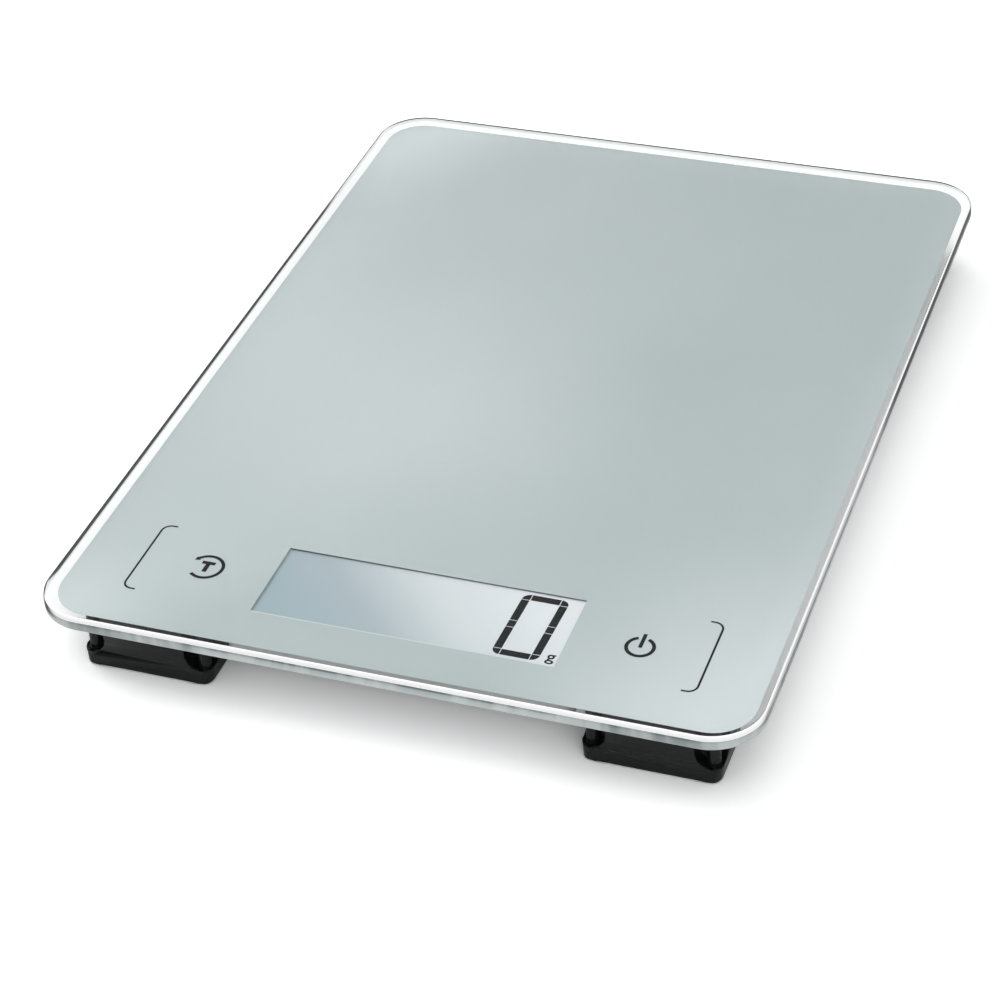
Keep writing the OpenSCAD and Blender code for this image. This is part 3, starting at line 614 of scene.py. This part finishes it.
crystal, wire = new_finish("liquid_crystal")
across, along, _ = axes(wire)
speckle = noise(wire, 0.00018, 1.0)
leaning = across + (along - (panel_low.y + panel_high.y) / 2) * SHEEN_LEAN
glow = remap(wire, leaning + (speckle - 0.5) * SPECKLE_REACH, panel_low.x, panel_high.x)
rear_shade = soft(wire, along, last_seen - 0.50 * MM, last_seen - 0.25 * MM)
sheen = wire.node(
    "ShaderNodeValToRGB",
    {"stops": [(0.0, rgb(0.40, 0.50, 0.55)), (0.3, rgb(0.48, 0.54, 0.59)),
               (0.6, rgb(0.76, 0.78, 0.81)), (1.0, rgb(0.90, 0.90, 0.94))]},
    {0: glow},
)
sheen = blend(wire, rear_shade * 0.85, sheen, rgb(0.02, 0.025, 0.025))
surface(
    wire, Base_Color=sheen, Emission_Color=sheen, Emission_Strength=0.12,
    Roughness=remap(wire, speckle, 0.2, 0.8, 0.30, 0.42),
    Normal=bump(wire, speckle, 0.000003),
)
finishes["display_glass"] = crystal
print("panel in mm", [round(v / MM, 1) for v in panel_high - panel_low])
print("it lies under the print by", round(sunk / MM, 2))

# %% [markdown]
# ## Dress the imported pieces
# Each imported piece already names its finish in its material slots. The loop swaps those
# names for the finishes made above, so that no piece is forgotten.

# %% Assign the finishes
GLASS_SLOT = "clear_glass"
for name, piece in sorted(nodes.items()):
    for slot in piece.material_slots:
        key = slot.material.name.split(".")[0]
        if key in finishes:
            slot.material = finishes[key]
        elif key != GLASS_SLOT:
            print("no finish for", name, key)
print("dressed", len(nodes), "pieces")

# %% [markdown]
# ## Making pieces
# New pieces start as a few points and grow by extruding, spinning and bevelling. The
# helper turns a finished bmesh into a piece that rides with its part of the scale.

# %% Define how a piece is made
def make_piece(name, work, finish, body="platform", replaces=None):
    """Turns a bmesh into an object that rides with its body."""
    mesh = bpy.data.meshes.new(name)
    work.normal_update()
    work.to_mesh(mesh)
    work.free()
    mesh.materials.append(finish)
    piece = bpy.data.objects.new(name, mesh)
    bpy.context.scene.collection.objects.link(piece)
    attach(piece, body)
    if replaces:
        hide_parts(replaces)
    return piece


def ease_edges(piece, width, segments=2, angle=30):
    """Rounds a piece's sharp edges and keeps its flat faces flat."""
    for face in piece.data.polygons:
        face.use_smooth = True
    bevel = piece.modifiers.new("eased_edges", "BEVEL")
    bevel.width, bevel.segments = width, segments
    bevel.limit_method, bevel.angle_limit = "ANGLE", math.radians(angle)
    bevel.use_clamp_overlap = False
    bevel.harden_normals = True
    return bevel


print("piece helpers ready")

# %% [markdown]
# ## The glass plate
# The plate is float glass with ground edges: a steep chamfer round the top and a small
# one below. It is one solid with a real thickness, so that the clear rim round the print
# bends the light as thick glass does. It rests a hair above the print, because two faces
# in the same plane would flicker. Lamplight passes straight through both of its
# finishes, or the plate would throw the shadow of a solid block on the print.

# %% Mix clear glass
def let_light_through(wire, shader):
    """Closes a glass finish so that it casts only a faint tinted shadow."""
    straight = wire.node("ShaderNodeBsdfTransparent", None, {"Color": rgb(0.95, 0.98, 0.97)})
    shadow = wire.node("ShaderNodeLightPath", out="Is Shadow Ray")
    wire.close(wire.node("ShaderNodeMixShader", None, {0: shadow, 1: shader, 2: straight}))


glass, wire = new_finish("float_glass")
let_light_through(wire, principled(
    wire, Base_Color=rgb(0.965, 0.985, 0.98), Roughness=0.0, IOR=1.52, Transmission_Weight=1.0
))
print("glass ready")

# %% [markdown]
# ### The ground edge
# A ground edge is frosted, so its steep chamfer is nearly white where it faces the eye,
# and it has a painted glow too: the finish emits a little light for the light that the
# edge scatters out of the plate. Seen at a slant its upper part turns to a painted dark
# reflection. The side below it is greener, with a painted dark line under the arris,
# painted gleams as soft streaks and a painted highlight near the right front corner.
# Over the feet it is painted darker, a painted shade for the black feet that show
# through. Seen from inside the glass the whole edge has a painted glow, but for a
# painted dark line along its top. All of that is height on the plate, a noise that is
# stretched along Z, and a facing mix. Masks on the plate's plan hold a few painted
# gleams and dark reflections of a studio: the slanted dark is weaker at the right
# front, the top facet is painted dark on the left and at the rear, and the line inside
# is broader on the left.

# %% Measure the plate
plate_low, plate_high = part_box("glass_platform")
PRINT_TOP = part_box("silver_print")[1].z
GLASS_LIFT, CORNER = 0.04 * MM, 11.5 * MM
TOP_SETBACK, TOP_DROP, LOW_CHAMFER = 0.62 * MM, 1.05 * MM, 0.4 * MM
arris = plate_high.z - TOP_DROP
print("side height in mm", round((arris - plate_low.z) / MM, 2))

# %% Mask the parts of the edge
SIDE_FROM, SIDE_UNTIL = 3 * MM, 1 * MM  # how far inside a face its mask starts and is full
FOOT_FADE = 3 * MM
ground, wire = new_finish("ground_edge")
across, along, height = axes(wire)
foot_low, foot_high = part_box("front_right_housing")
over_feet = (
    soft(wire, wire.sum("ABSOLUTE", across), foot_low.x - FOOT_FADE, foot_low.x + FOOT_FADE)
    * soft(wire, wire.sum("ABSOLUTE", along), -foot_high.y - FOOT_FADE, -foot_high.y + FOOT_FADE)
)
on_left = soft(wire, across, plate_low.x + SIDE_FROM, plate_low.x + SIDE_UNTIL)
on_right = soft(wire, across, plate_high.x - SIDE_FROM, plate_high.x - SIDE_UNTIL)
on_rear = soft(wire, along, plate_high.y - SIDE_FROM, plate_high.y - SIDE_UNTIL)
off_corner = soft(wire, along, -104 * MM, -92 * MM)
on_chamfer = remap(wire, height, arris - 0.03 * MM, arris + 0.10 * MM)
top_facet = height > plate_high.z - 0.25 * MM
upper_half = soft(wire, height, arris - 1.2 * MM, arris - 0.7 * MM)
inside = wire.node("ShaderNodeNewGeometry", out="Backfacing")
# masks for painted gleams and dark reflections: the line inside is broader on the left, the
# slanted dark weaker on the right front
left_front = on_left * soft(wire, along, 95 * MM, 55 * MM) * off_corner
right_front = on_right * soft(wire, along, 20 * MM, -15 * MM) * off_corner
# a painted dark line along the top of the edge, seen from inside the glass
painted_dark_line = soft(
    wire, height + left_front * 1.6 * MM, plate_high.z - 1.75 * MM, plate_high.z - 1.50 * MM
)
print("edge masks ready")

# %% Mix the ground edge
# painted gleams: soft streaks stretched along Z, and a painted highlight near the right front
# corner
streak = remap(wire, noise(wire, 0.006, 3.0, stretch=(1, 1, 0.15)), 0.42, 0.62)
gleam = near(wire, plate_high.x, plate_low.y + 4 * MM, 7 * MM, 7 * MM) * 0.6
# the side's colour by height: palest low down, with a painted dark line under the arris
side = wire.node(
    "ShaderNodeValToRGB",
    {"stops": [(0.0, rgb(0.40, 0.45, 0.45)), (0.12, rgb(0.72, 0.78, 0.78)),
               (0.72, rgb(0.50, 0.58, 0.58)), (0.90, rgb(0.13, 0.16, 0.16)),
               (1.0, rgb(0.22, 0.26, 0.26))]},
    {0: remap(wire, height, plate_low.z, arris)},
)
# painted shade: the side is darker where the black feet show through the glass
darker = blend(wire, over_feet * 0.60, side, rgb(0.17, 0.21, 0.21))
bright = wire.sum("MAXIMUM", streak * 0.55, gleam)
shaded = blend(wire, bright, darker, rgb(0.90, 0.95, 0.95))
# painted glow: the chamfer is near white and emits a little light; inside, the edge glows too,
# but for its painted dark line
pale = blend(wire, on_chamfer, shaded, rgb(0.97, 0.98, 0.98))
within = blend(wire, painted_dark_line, rgb(0.93, 0.97, 0.96), rgb(0.05, 0.06, 0.06))
within_glow = blend(wire, painted_dark_line, rgb(2, 2, 2), rgb(0, 0, 0))
outer_glow = blend(wire, on_chamfer, rgb(0, 0, 0), rgb(1, 1, 1))
facing = principled(
    wire, Base_Color=blend(wire, inside, pale, within), Roughness=0.28,
    Emission_Color=blend(wire, inside, outer_glow, within_glow), Emission_Strength=0.18,
)
# a painted dark reflection, shown where the edge's upper part is seen at a slant
slanted = principled(
    wire, Base_Color=rgb(0.010, 0.014, 0.014), Roughness=0.3, Specular_IOR_Level=0.15
)
slant = wire.node("ShaderNodeLayerWeight", None, {"Blend": 0.5}, out="Facing")
# the top facet on the left and at the rear is painted dark, and the slanted dark is weaker at the
# right front, a painted gleam there
painted_dark_facet = wire.sum("MAXIMUM", on_left, on_rear) * top_facet
dark_slant = remap(wire, slant, 0.50, 0.70) * upper_half * (1 - right_front * 0.6)
dark = wire.sum("MAXIMUM", dark_slant, painted_dark_facet) * (1 - inside)
let_light_through(wire, wire.node("ShaderNodeMixShader", None, {0: dark, 1: facing, 2: slanted}))
print("ground edge ready")


# %% Build the plate
def grown_points(grown):
    """The new points among what an extrusion gave back."""
    return [v for v in grown if isinstance(v, bmesh.types.BMVert)]


def rounded_plate(low, high, radius, steps):
    """A flat plate with round corners, from its two opposite corners."""
    work = bmesh.new()
    bmesh.ops.create_grid(work, x_segments=1, y_segments=1, size=0.5)
    size, middle = high - low, (high + low) / 2
    bmesh.ops.scale(work, verts=work.verts, vec=(size.x, size.y, 1))
    bmesh.ops.translate(work, verts=work.verts, vec=(middle.x, middle.y, low.z))
    bmesh.ops.bevel(
        work, geom=work.verts[:], offset=radius, offset_type="OFFSET", affect="VERTICES",
        segments=steps, profile=0.5, material=-1,
    )
    grown = bmesh.ops.extrude_face_region(work, geom=work.faces[:])["geom"]
    bmesh.ops.translate(work, verts=grown_points(grown), vec=(0, 0, size.z))
    bmesh.ops.recalc_face_normals(work, faces=work.faces)
    return work


def chamfer_rim(work, height, width, segments=1):
    """Cuts a chamfer along every edge that lies at one height."""
    rim = [e for e in work.edges if all(abs(v.co.z - height) < 1e-7 for v in e.verts)]
    bmesh.ops.bevel(
        work, geom=rim, offset=width, offset_type="OFFSET", affect="EDGES",
        segments=segments, profile=0.5, material=-1,
    )


CORNER_STEPS, LYING_FLAT = 24, 0.95
lifted_low = Vector((plate_low.x, plate_low.y, PRINT_TOP + GLASS_LIFT))
work = rounded_plate(lifted_low, plate_high, CORNER, CORNER_STEPS)
chamfer_rim(work, plate_high.z, TOP_SETBACK, segments=2)
ring = [v for v in work.verts if abs(v.co.z - (plate_high.z - TOP_SETBACK)) < 1e-7]
bmesh.ops.translate(work, verts=ring, vec=(0, 0, TOP_SETBACK - TOP_DROP))
chamfer_rim(work, lifted_low.z, LOW_CHAMFER)
work.normal_update()
for face in work.faces:
    face.material_index = 0 if abs(face.normal.z) > LYING_FLAT else 1
plate = make_piece("polished_glass", work, glass, replaces="glass_platform")
plate.data.materials.append(ground)
ease_edges(plate, 0.12 * MM, segments=3, angle=20)
print("plate faces", len(plate.data.polygons))

# %% [markdown]
# ## The printed marks
# The touch keys are marked with thin black lines in the print: a bracket at each side,
# a ring with a bar for the power key, and a turning arrow round a letter for the tare
# key. They are drawn with a nib: an edge as wide as the line that is pushed along the
# stroke and swung round its corners.

# %% Mix black ink
ink, wire = new_finish("black_ink")
patch = noise(wire, 0.0002, 2.0)
surface(
    wire,
    Base_Color=blend(wire, patch, rgb(0.006, 0.006, 0.007), rgb(0.016, 0.016, 0.017)),
    Roughness=remap(wire, patch, 0.3, 0.7, 0.75, 0.9), Specular_IOR_Level=0.0,
)
print("ink ready")


# %% Define the nib
class Nib:
    """Draws flat strokes by pushing and swinging one edge."""

    def __init__(self, work, start, heading, width, height):
        self.work, self.heading = work, heading
        self.at = Vector((start[0], start[1], height))
        side = Vector((-math.sin(heading), math.cos(heading), 0)) * width / 2
        ends = [work.verts.new(self.at + side), work.verts.new(self.at - side)]
        self.edge = work.edges.new(ends)

    def push(self, length):
        """Goes straight on."""
        step = Vector((math.cos(self.heading), math.sin(self.heading), 0)) * length
        grown = bmesh.ops.extrude_edge_only(self.work, edges=[self.edge])["geom"]
        bmesh.ops.translate(self.work, verts=grown_points(grown), vec=step)
        self.edge = next(e for e in grown if isinstance(e, bmesh.types.BMEdge))
        self.at += step
        return self

    def swing(self, radius, turn, steps=16):
        """Turns left for a positive angle in degrees, right for a negative one."""
        angle = math.radians(turn)
        side = 1 if angle > 0 else -1
        centre = self.at + side * radius * Vector(
            (-math.sin(self.heading), math.cos(self.heading), 0)
        )
        grown = bmesh.ops.spin(
            self.work, geom=[self.edge, *self.edge.verts], cent=centre, axis=(0, 0, 1),
            angle=angle, steps=steps, use_merge=False, use_duplicate=False,
        )["geom_last"]
        self.edge = next(e for e in grown if isinstance(e, bmesh.types.BMEdge))
        self.at = centre + Matrix.Rotation(angle, 3, "Z") @ (self.at - centre)
        self.heading += angle
        return self


def thicken(work, thickness):
    """Gives flat strokes a real thickness, upwards."""
    bmesh.ops.remove_doubles(work, verts=work.verts, dist=1e-7)
    grown = bmesh.ops.extrude_face_region(work, geom=work.faces[:])["geom"]
    bmesh.ops.translate(work, verts=grown_points(grown), vec=(0, 0, thickness))
    bmesh.ops.recalc_face_normals(work, faces=work.faces)


INK_HEIGHT, INK_THICK = PRINT_TOP + 0.012 * MM, 0.012 * MM
print("nib ready")

# %% Draw the brackets
BRACKET_X, BRACKET_FRONT, BRACKET_REAR = 62.45 * MM, -93.75 * MM, -71.75 * MM
BRACKET_CORNER, BRACKET_STUB, LINE = 2.0 * MM, 1.0 * MM, 0.46 * MM

for name, side in (("left_bracket", -1), ("right_bracket", 1)):
    work = bmesh.new()
    inner = side * (BRACKET_X - BRACKET_CORNER - BRACKET_STUB)
    nib = Nib(work, (inner, BRACKET_REAR), 0 if side > 0 else math.pi, LINE, INK_HEIGHT)
    nib.push(BRACKET_STUB).swing(BRACKET_CORNER, -90 * side)
    nib.push(BRACKET_REAR - BRACKET_FRONT - 2 * BRACKET_CORNER)
    nib.swing(BRACKET_CORNER, -90 * side).push(BRACKET_STUB)
    thicken(work, INK_THICK)
    make_piece(name, work, ink)
print("brackets drawn")


# %% Draw the power key
def on_ring(middle, radius, angle):
    """The point of a ring that lies in a direction from its middle."""
    return middle[0] + radius * math.cos(angle), middle[1] + radius * math.sin(angle)


POWER_AT, POWER_R, POWER_GAP = (47.9 * MM, -83.3 * MM), 2.82 * MM, 44
POWER_LINE, BAR_LOW, BAR_LENGTH = 0.80 * MM, -0.2 * MM, 4.4 * MM
work = bmesh.new()
first = math.radians(90 - POWER_GAP / 2)
nib = Nib(work, on_ring(POWER_AT, POWER_R, first), first - math.pi / 2, POWER_LINE, INK_HEIGHT)
nib.swing(POWER_R, -(360 - POWER_GAP), steps=48)
bar_foot = (POWER_AT[0], POWER_AT[1] + BAR_LOW)
Nib(work, bar_foot, math.pi / 2, POWER_LINE, INK_HEIGHT).push(BAR_LENGTH)
thicken(work, INK_THICK)
make_piece("power_mark", work, ink)
print("power key drawn")

# %% Draw the tare key
TARE_AT, TARE_R, TARE_LINE = (-47.83 * MM, -82.88 * MM), 3.60 * MM, 0.78 * MM
HEAD_ANGLE, TAIL_ANGLE, HEAD_WIDTH, HEAD_LENGTH = 138, -132, 1.5 * MM, 1.1 * MM
CAP_TOP, CAP_WIDTH, CAP_LINE = 1.35 * MM, 3.0 * MM, 0.95 * MM
STEM_LINE, STEM_LENGTH = 1.0 * MM, 2.5 * MM
work = bmesh.new()
tail = math.radians(TAIL_ANGLE)
nib = Nib(work, on_ring(TARE_AT, TARE_R, tail), tail + math.pi / 2, TARE_LINE, INK_HEIGHT)
nib.swing(TARE_R, HEAD_ANGLE - TAIL_ANGLE, steps=40)
arrow = Nib(work, nib.at[:2], nib.heading, HEAD_WIDTH, INK_HEIGHT).push(HEAD_LENGTH)
bmesh.ops.pointmerge(work, verts=list(arrow.edge.verts), merge_co=arrow.at)
cap = (TARE_AT[0] - CAP_WIDTH / 2, TARE_AT[1] + CAP_TOP)
stem = (TARE_AT[0], TARE_AT[1] + CAP_TOP - CAP_LINE / 2)
Nib(work, cap, 0, CAP_LINE, INK_HEIGHT).push(CAP_WIDTH)
Nib(work, stem, -math.pi / 2, STEM_LINE, INK_HEIGHT).push(STEM_LENGTH)
thicken(work, INK_THICK)
make_piece("tare_mark", work, ink)
print("tare key drawn")

# %% [markdown]
# ## The shown digit
# The display is on and shows a zero. Its strokes are split by hair gaps, as the
# electrodes of a liquid crystal are, and its four corners are small rounded pieces. A
# small g for grams stands at its foot.

# %% Draw the zero
DIGIT_LEFT, DIGIT_RIGHT = 19.45 * MM, 29.45 * MM
DIGIT_FRONT, DIGIT_REAR = -92.50 * MM, -72.80 * MM
STROKE, HAIR, MIDDLE, LEAN = 1.72 * MM, 0.18 * MM, 2.0 * MM, 0.036
SHOWN_HEIGHT, SHOWN_THICK = panel_high.z + 0.01 * MM, 0.02 * MM

lit, wire = new_finish("shown_crystal")
patch = noise(wire, 0.0003, 1.0)
surface(
    wire,
    Base_Color=blend(wire, patch, rgb(0.010, 0.011, 0.012), rgb(0.020, 0.022, 0.024)),
    Roughness=remap(wire, patch, 0.3, 0.7, 0.75, 0.9), Specular_IOR_Level=0.0,
)

work = bmesh.new()
across_mid = (DIGIT_LEFT + DIGIT_RIGHT) / 2
along_mid = (DIGIT_FRONT + DIGIT_REAR) / 2
bar = DIGIT_RIGHT - DIGIT_LEFT - 2 * STROKE - 2 * HAIR
limb = (DIGIT_REAR - DIGIT_FRONT - 2 * STROKE - MIDDLE) / 2 - 2 * HAIR
for edge_y in (DIGIT_REAR - STROKE / 2, DIGIT_FRONT + STROKE / 2):
    Nib(work, (across_mid - bar / 2, edge_y), 0, STROKE, SHOWN_HEIGHT).push(bar)
for edge_x in (DIGIT_LEFT + STROKE / 2, DIGIT_RIGHT - STROKE / 2):
    Nib(work, (edge_x, along_mid - MIDDLE / 2), math.pi / 2, STROKE, SHOWN_HEIGHT).push(MIDDLE)
    for way in (-1, 1):
        Nib(
            work, (edge_x, along_mid + way * (MIDDLE / 2 + HAIR)), way * math.pi / 2,
            STROKE, SHOWN_HEIGHT,
        ).push(limb)
for corner_x, turn_x in ((DIGIT_LEFT, 1), (DIGIT_RIGHT, -1)):
    for corner_y, turn_y in ((DIGIT_REAR, -1), (DIGIT_FRONT, 1)):
        inner = Vector((corner_x + turn_x * STROKE, corner_y + turn_y * STROKE, SHOWN_HEIGHT))
        ends = [work.verts.new(inner), work.verts.new(inner - Vector((turn_x * STROKE, 0, 0)))]
        bmesh.ops.spin(
            work, geom=[work.edges.new(ends), *ends], cent=inner, axis=(0, 0, 1),
            angle=math.radians(90) * turn_x * turn_y, steps=8, use_merge=False,
        )
for point in work.verts:
    point.co.x += LEAN * (point.co.y - along_mid)
thicken(work, SHOWN_THICK)
make_piece("shown_zero", work, lit)
print("zero drawn, limb in mm", round(limb / MM, 2))

# %% Set the small g
LETTER_AT, LETTER_SIZE, LETTER_SWELL = (31.45 * MM, -91.75 * MM), 4.2 * MM, 0.05 * MM
letter = bpy.data.curves.new("unit_letter", "FONT")
letter.body, letter.size, letter.offset = "g", LETTER_SIZE, LETTER_SWELL
letter.align_x = "CENTER"
shape = bpy.data.objects.new("unit_letter_curve", letter)
bpy.context.scene.collection.objects.link(shape)
bpy.context.view_layer.update()
flat = bpy.data.meshes.new_from_object(shape)
bpy.data.objects.remove(shape)
work = bmesh.new()
work.from_mesh(flat)
bmesh.ops.translate(work, verts=work.verts, vec=(*LETTER_AT, SHOWN_HEIGHT))
thicken(work, SHOWN_THICK)
make_piece("unit_letter", work, lit)
print("letter drawn")

# %% [markdown]
# ## Rounded mouldings
# No moulded edge is perfectly sharp, and the thin highlight along it is what makes a
# black foot readable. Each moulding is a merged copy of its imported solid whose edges
# are eased by a quarter of a millimetre or less. Where a foot's cover meets its housing
# the edge stays crisp, so that the seam is only a hair line. The feet's front and rear
# faces lose their draft and stand upright, and their rim comes down a little closer to
# the table.

# %% Stand the feet upright
SEAM, POD_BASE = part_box("front_left_cover")[1].z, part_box("front_left_cover")[0].z
POD_W, POD_D, POD_R, POD_DRAFT, POD_TOP = 30.6 * MM, 34 * MM, 2.6 * MM, 0.8 * MM, 12.6 * MM
RIM_EASE, RIM_DROP, RIM_HEIGHT = 0.2 * MM, 0.35 * MM, 0.25 * MM
AT_RIM, AT_WALL = 0.05 * MM, 0.04 * MM


def stand_upright(work, middle):
    """Stands a foot's front and rear upright, keeps its sides' draft and lowers its rim."""
    for point in work.verts:
        away = point.co - middle
        reach_x = max(abs(away.x) - (POD_W / 2 - POD_R), 0)
        reach_y = max(abs(away.y) - (POD_D / 2 - POD_R), 0)
        reach = math.hypot(reach_x, reach_y)
        draft = POD_DRAFT * (POD_TOP - point.co.z) / (POD_TOP - POD_BASE)
        at_rim = abs(point.co.z - POD_BASE) < AT_RIM
        inset = draft + (RIM_EASE if at_rim else 0)
        on_wall = abs(reach - (POD_R - inset)) < AT_WALL
        if draft > 0 and reach_y > 0 and on_wall:
            point.co.y += math.copysign(draft * reach_y / reach, away.y)
        if point.co.z < POD_BASE + RIM_HEIGHT:
            point.co.z -= RIM_DROP


print("feet stand on", round(POD_BASE / MM, 2), "mm, less", RIM_DROP / MM)


# %% Ease the moulded edges
def eased_copy(name, width, seam=None, middle=None):
    """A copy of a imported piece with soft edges, which then stands for it."""
    source = nodes[name]
    work = bmesh.new()
    work.from_mesh(source.data)
    bmesh.ops.remove_doubles(work, verts=work.verts, dist=1e-6)
    if middle:
        stand_upright(work, middle)
    bmesh.ops.dissolve_limit(
        work, angle_limit=math.radians(0.6), verts=work.verts, edges=work.edges,
        use_dissolve_boundaries=False, delimit=set(),
    )
    weight = work.edges.layers.float.new("bevel_weight_edge")
    for edge in work.edges:
        sharp = edge.calc_face_angle(0) > math.radians(30)
        at_seam = seam is not None and all(abs(v.co.z - seam) < 1e-6 for v in edge.verts)
        edge[weight] = 1.0 if sharp and not at_seam else 0.0
        edge.smooth = not (sharp and at_seam)
    finish = source.material_slots[0].material
    slot = next(key for key, value in finishes.items() if value == finish)
    piece = make_piece(name + "_eased", work, finish, source["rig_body"], name)
    ease_edges(piece, width).limit_method = "WEIGHT"
    return piece


HOUSING_EDGE, COVER_EDGE, SMALL_EDGE = 0.22 * MM, 0.18 * MM, 0.15 * MM
CORNERS = ("front_left", "front_right", "rear_left", "rear_right")
SINGLE = (
    "electronics_housing", "battery_door", "unit_button", "left_cable_duct", "right_cable_duct"
)
for corner in CORNERS:
    middle = sum(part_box(f"{corner}_housing"), Vector()) / 2
    eased_copy(f"{corner}_housing", HOUSING_EDGE, SEAM, middle)
    eased_copy(f"{corner}_cover", COVER_EDGE, SEAM, middle)
    eased_copy(f"{corner}_foot", SMALL_EDGE)
for name in SINGLE:
    eased_copy(name, SMALL_EDGE)

# %% [markdown]
# ## Rubber pads
# Each pad grips the table with a few concentric ridges. The pad is a lathe profile spun
# round its axis, which gives clean round grooves.

# %% Spin the pads
RIDGES, GROOVE, EDGE, TOP_EDGE, FLANK = 3, 0.35 * MM, 0.3 * MM, 0.2 * MM, 0.15 * MM
RIDGE_SHARE, GROOVE_SHARE = 0.45, 0.40  # of the pitch from one groove to the next
for corner in CORNERS:
    low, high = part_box(f"{corner}_pad")
    centre, radius = (low + high) / 2, (high.x - low.x) / 2
    work = bmesh.new()
    profile = [(0, high.z), (radius - TOP_EDGE, high.z), (radius, high.z - TOP_EDGE),
               (radius, low.z + EDGE), (radius - EDGE, low.z)]
    pitch = (radius - EDGE) / (RIDGES + 0.5)
    for ridge in range(RIDGES):
        outer = radius - EDGE - (ridge + RIDGE_SHARE) * pitch
        inner = outer - GROOVE_SHARE * pitch
        profile += [(outer, low.z), (outer - FLANK, low.z + GROOVE),
                    (inner, low.z + GROOVE), (inner - FLANK, low.z)]
    profile.append((0, low.z))
    points = [work.verts.new((centre.x + r, centre.y, z)) for r, z in profile]
    line = [work.edges.new(pair) for pair in zip(points, points[1:])]
    bmesh.ops.spin(
        work, geom=points + line, cent=centre, axis=(0, 0, 1), angle=math.tau, steps=64,
        use_merge=True, use_duplicate=False,
    )
    bmesh.ops.remove_doubles(work, verts=work.verts, dist=1e-6)
    bmesh.ops.recalc_face_normals(work, faces=work.faces)
    pad = make_piece(
        f"{corner}_ridged_pad", work, finishes["pad_rubber"],
        nodes[f"{corner}_pad"]["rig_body"], f"{corner}_pad",
    )
    for face in pad.data.polygons:
        face.use_smooth = True
    pad.data.set_sharp_from_angle(angle=math.radians(30))
print("pads spun")

# %% [markdown]
# ## Keep the size
# The dressed scale has to fill the same box as the imported one. The difference
# between the two boxes is printed.

# %% Write the sizes
low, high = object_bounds()
print("size difference in mm", [round(v / MM, 2) for v in (high - low) - (cad_high - cad_low)])
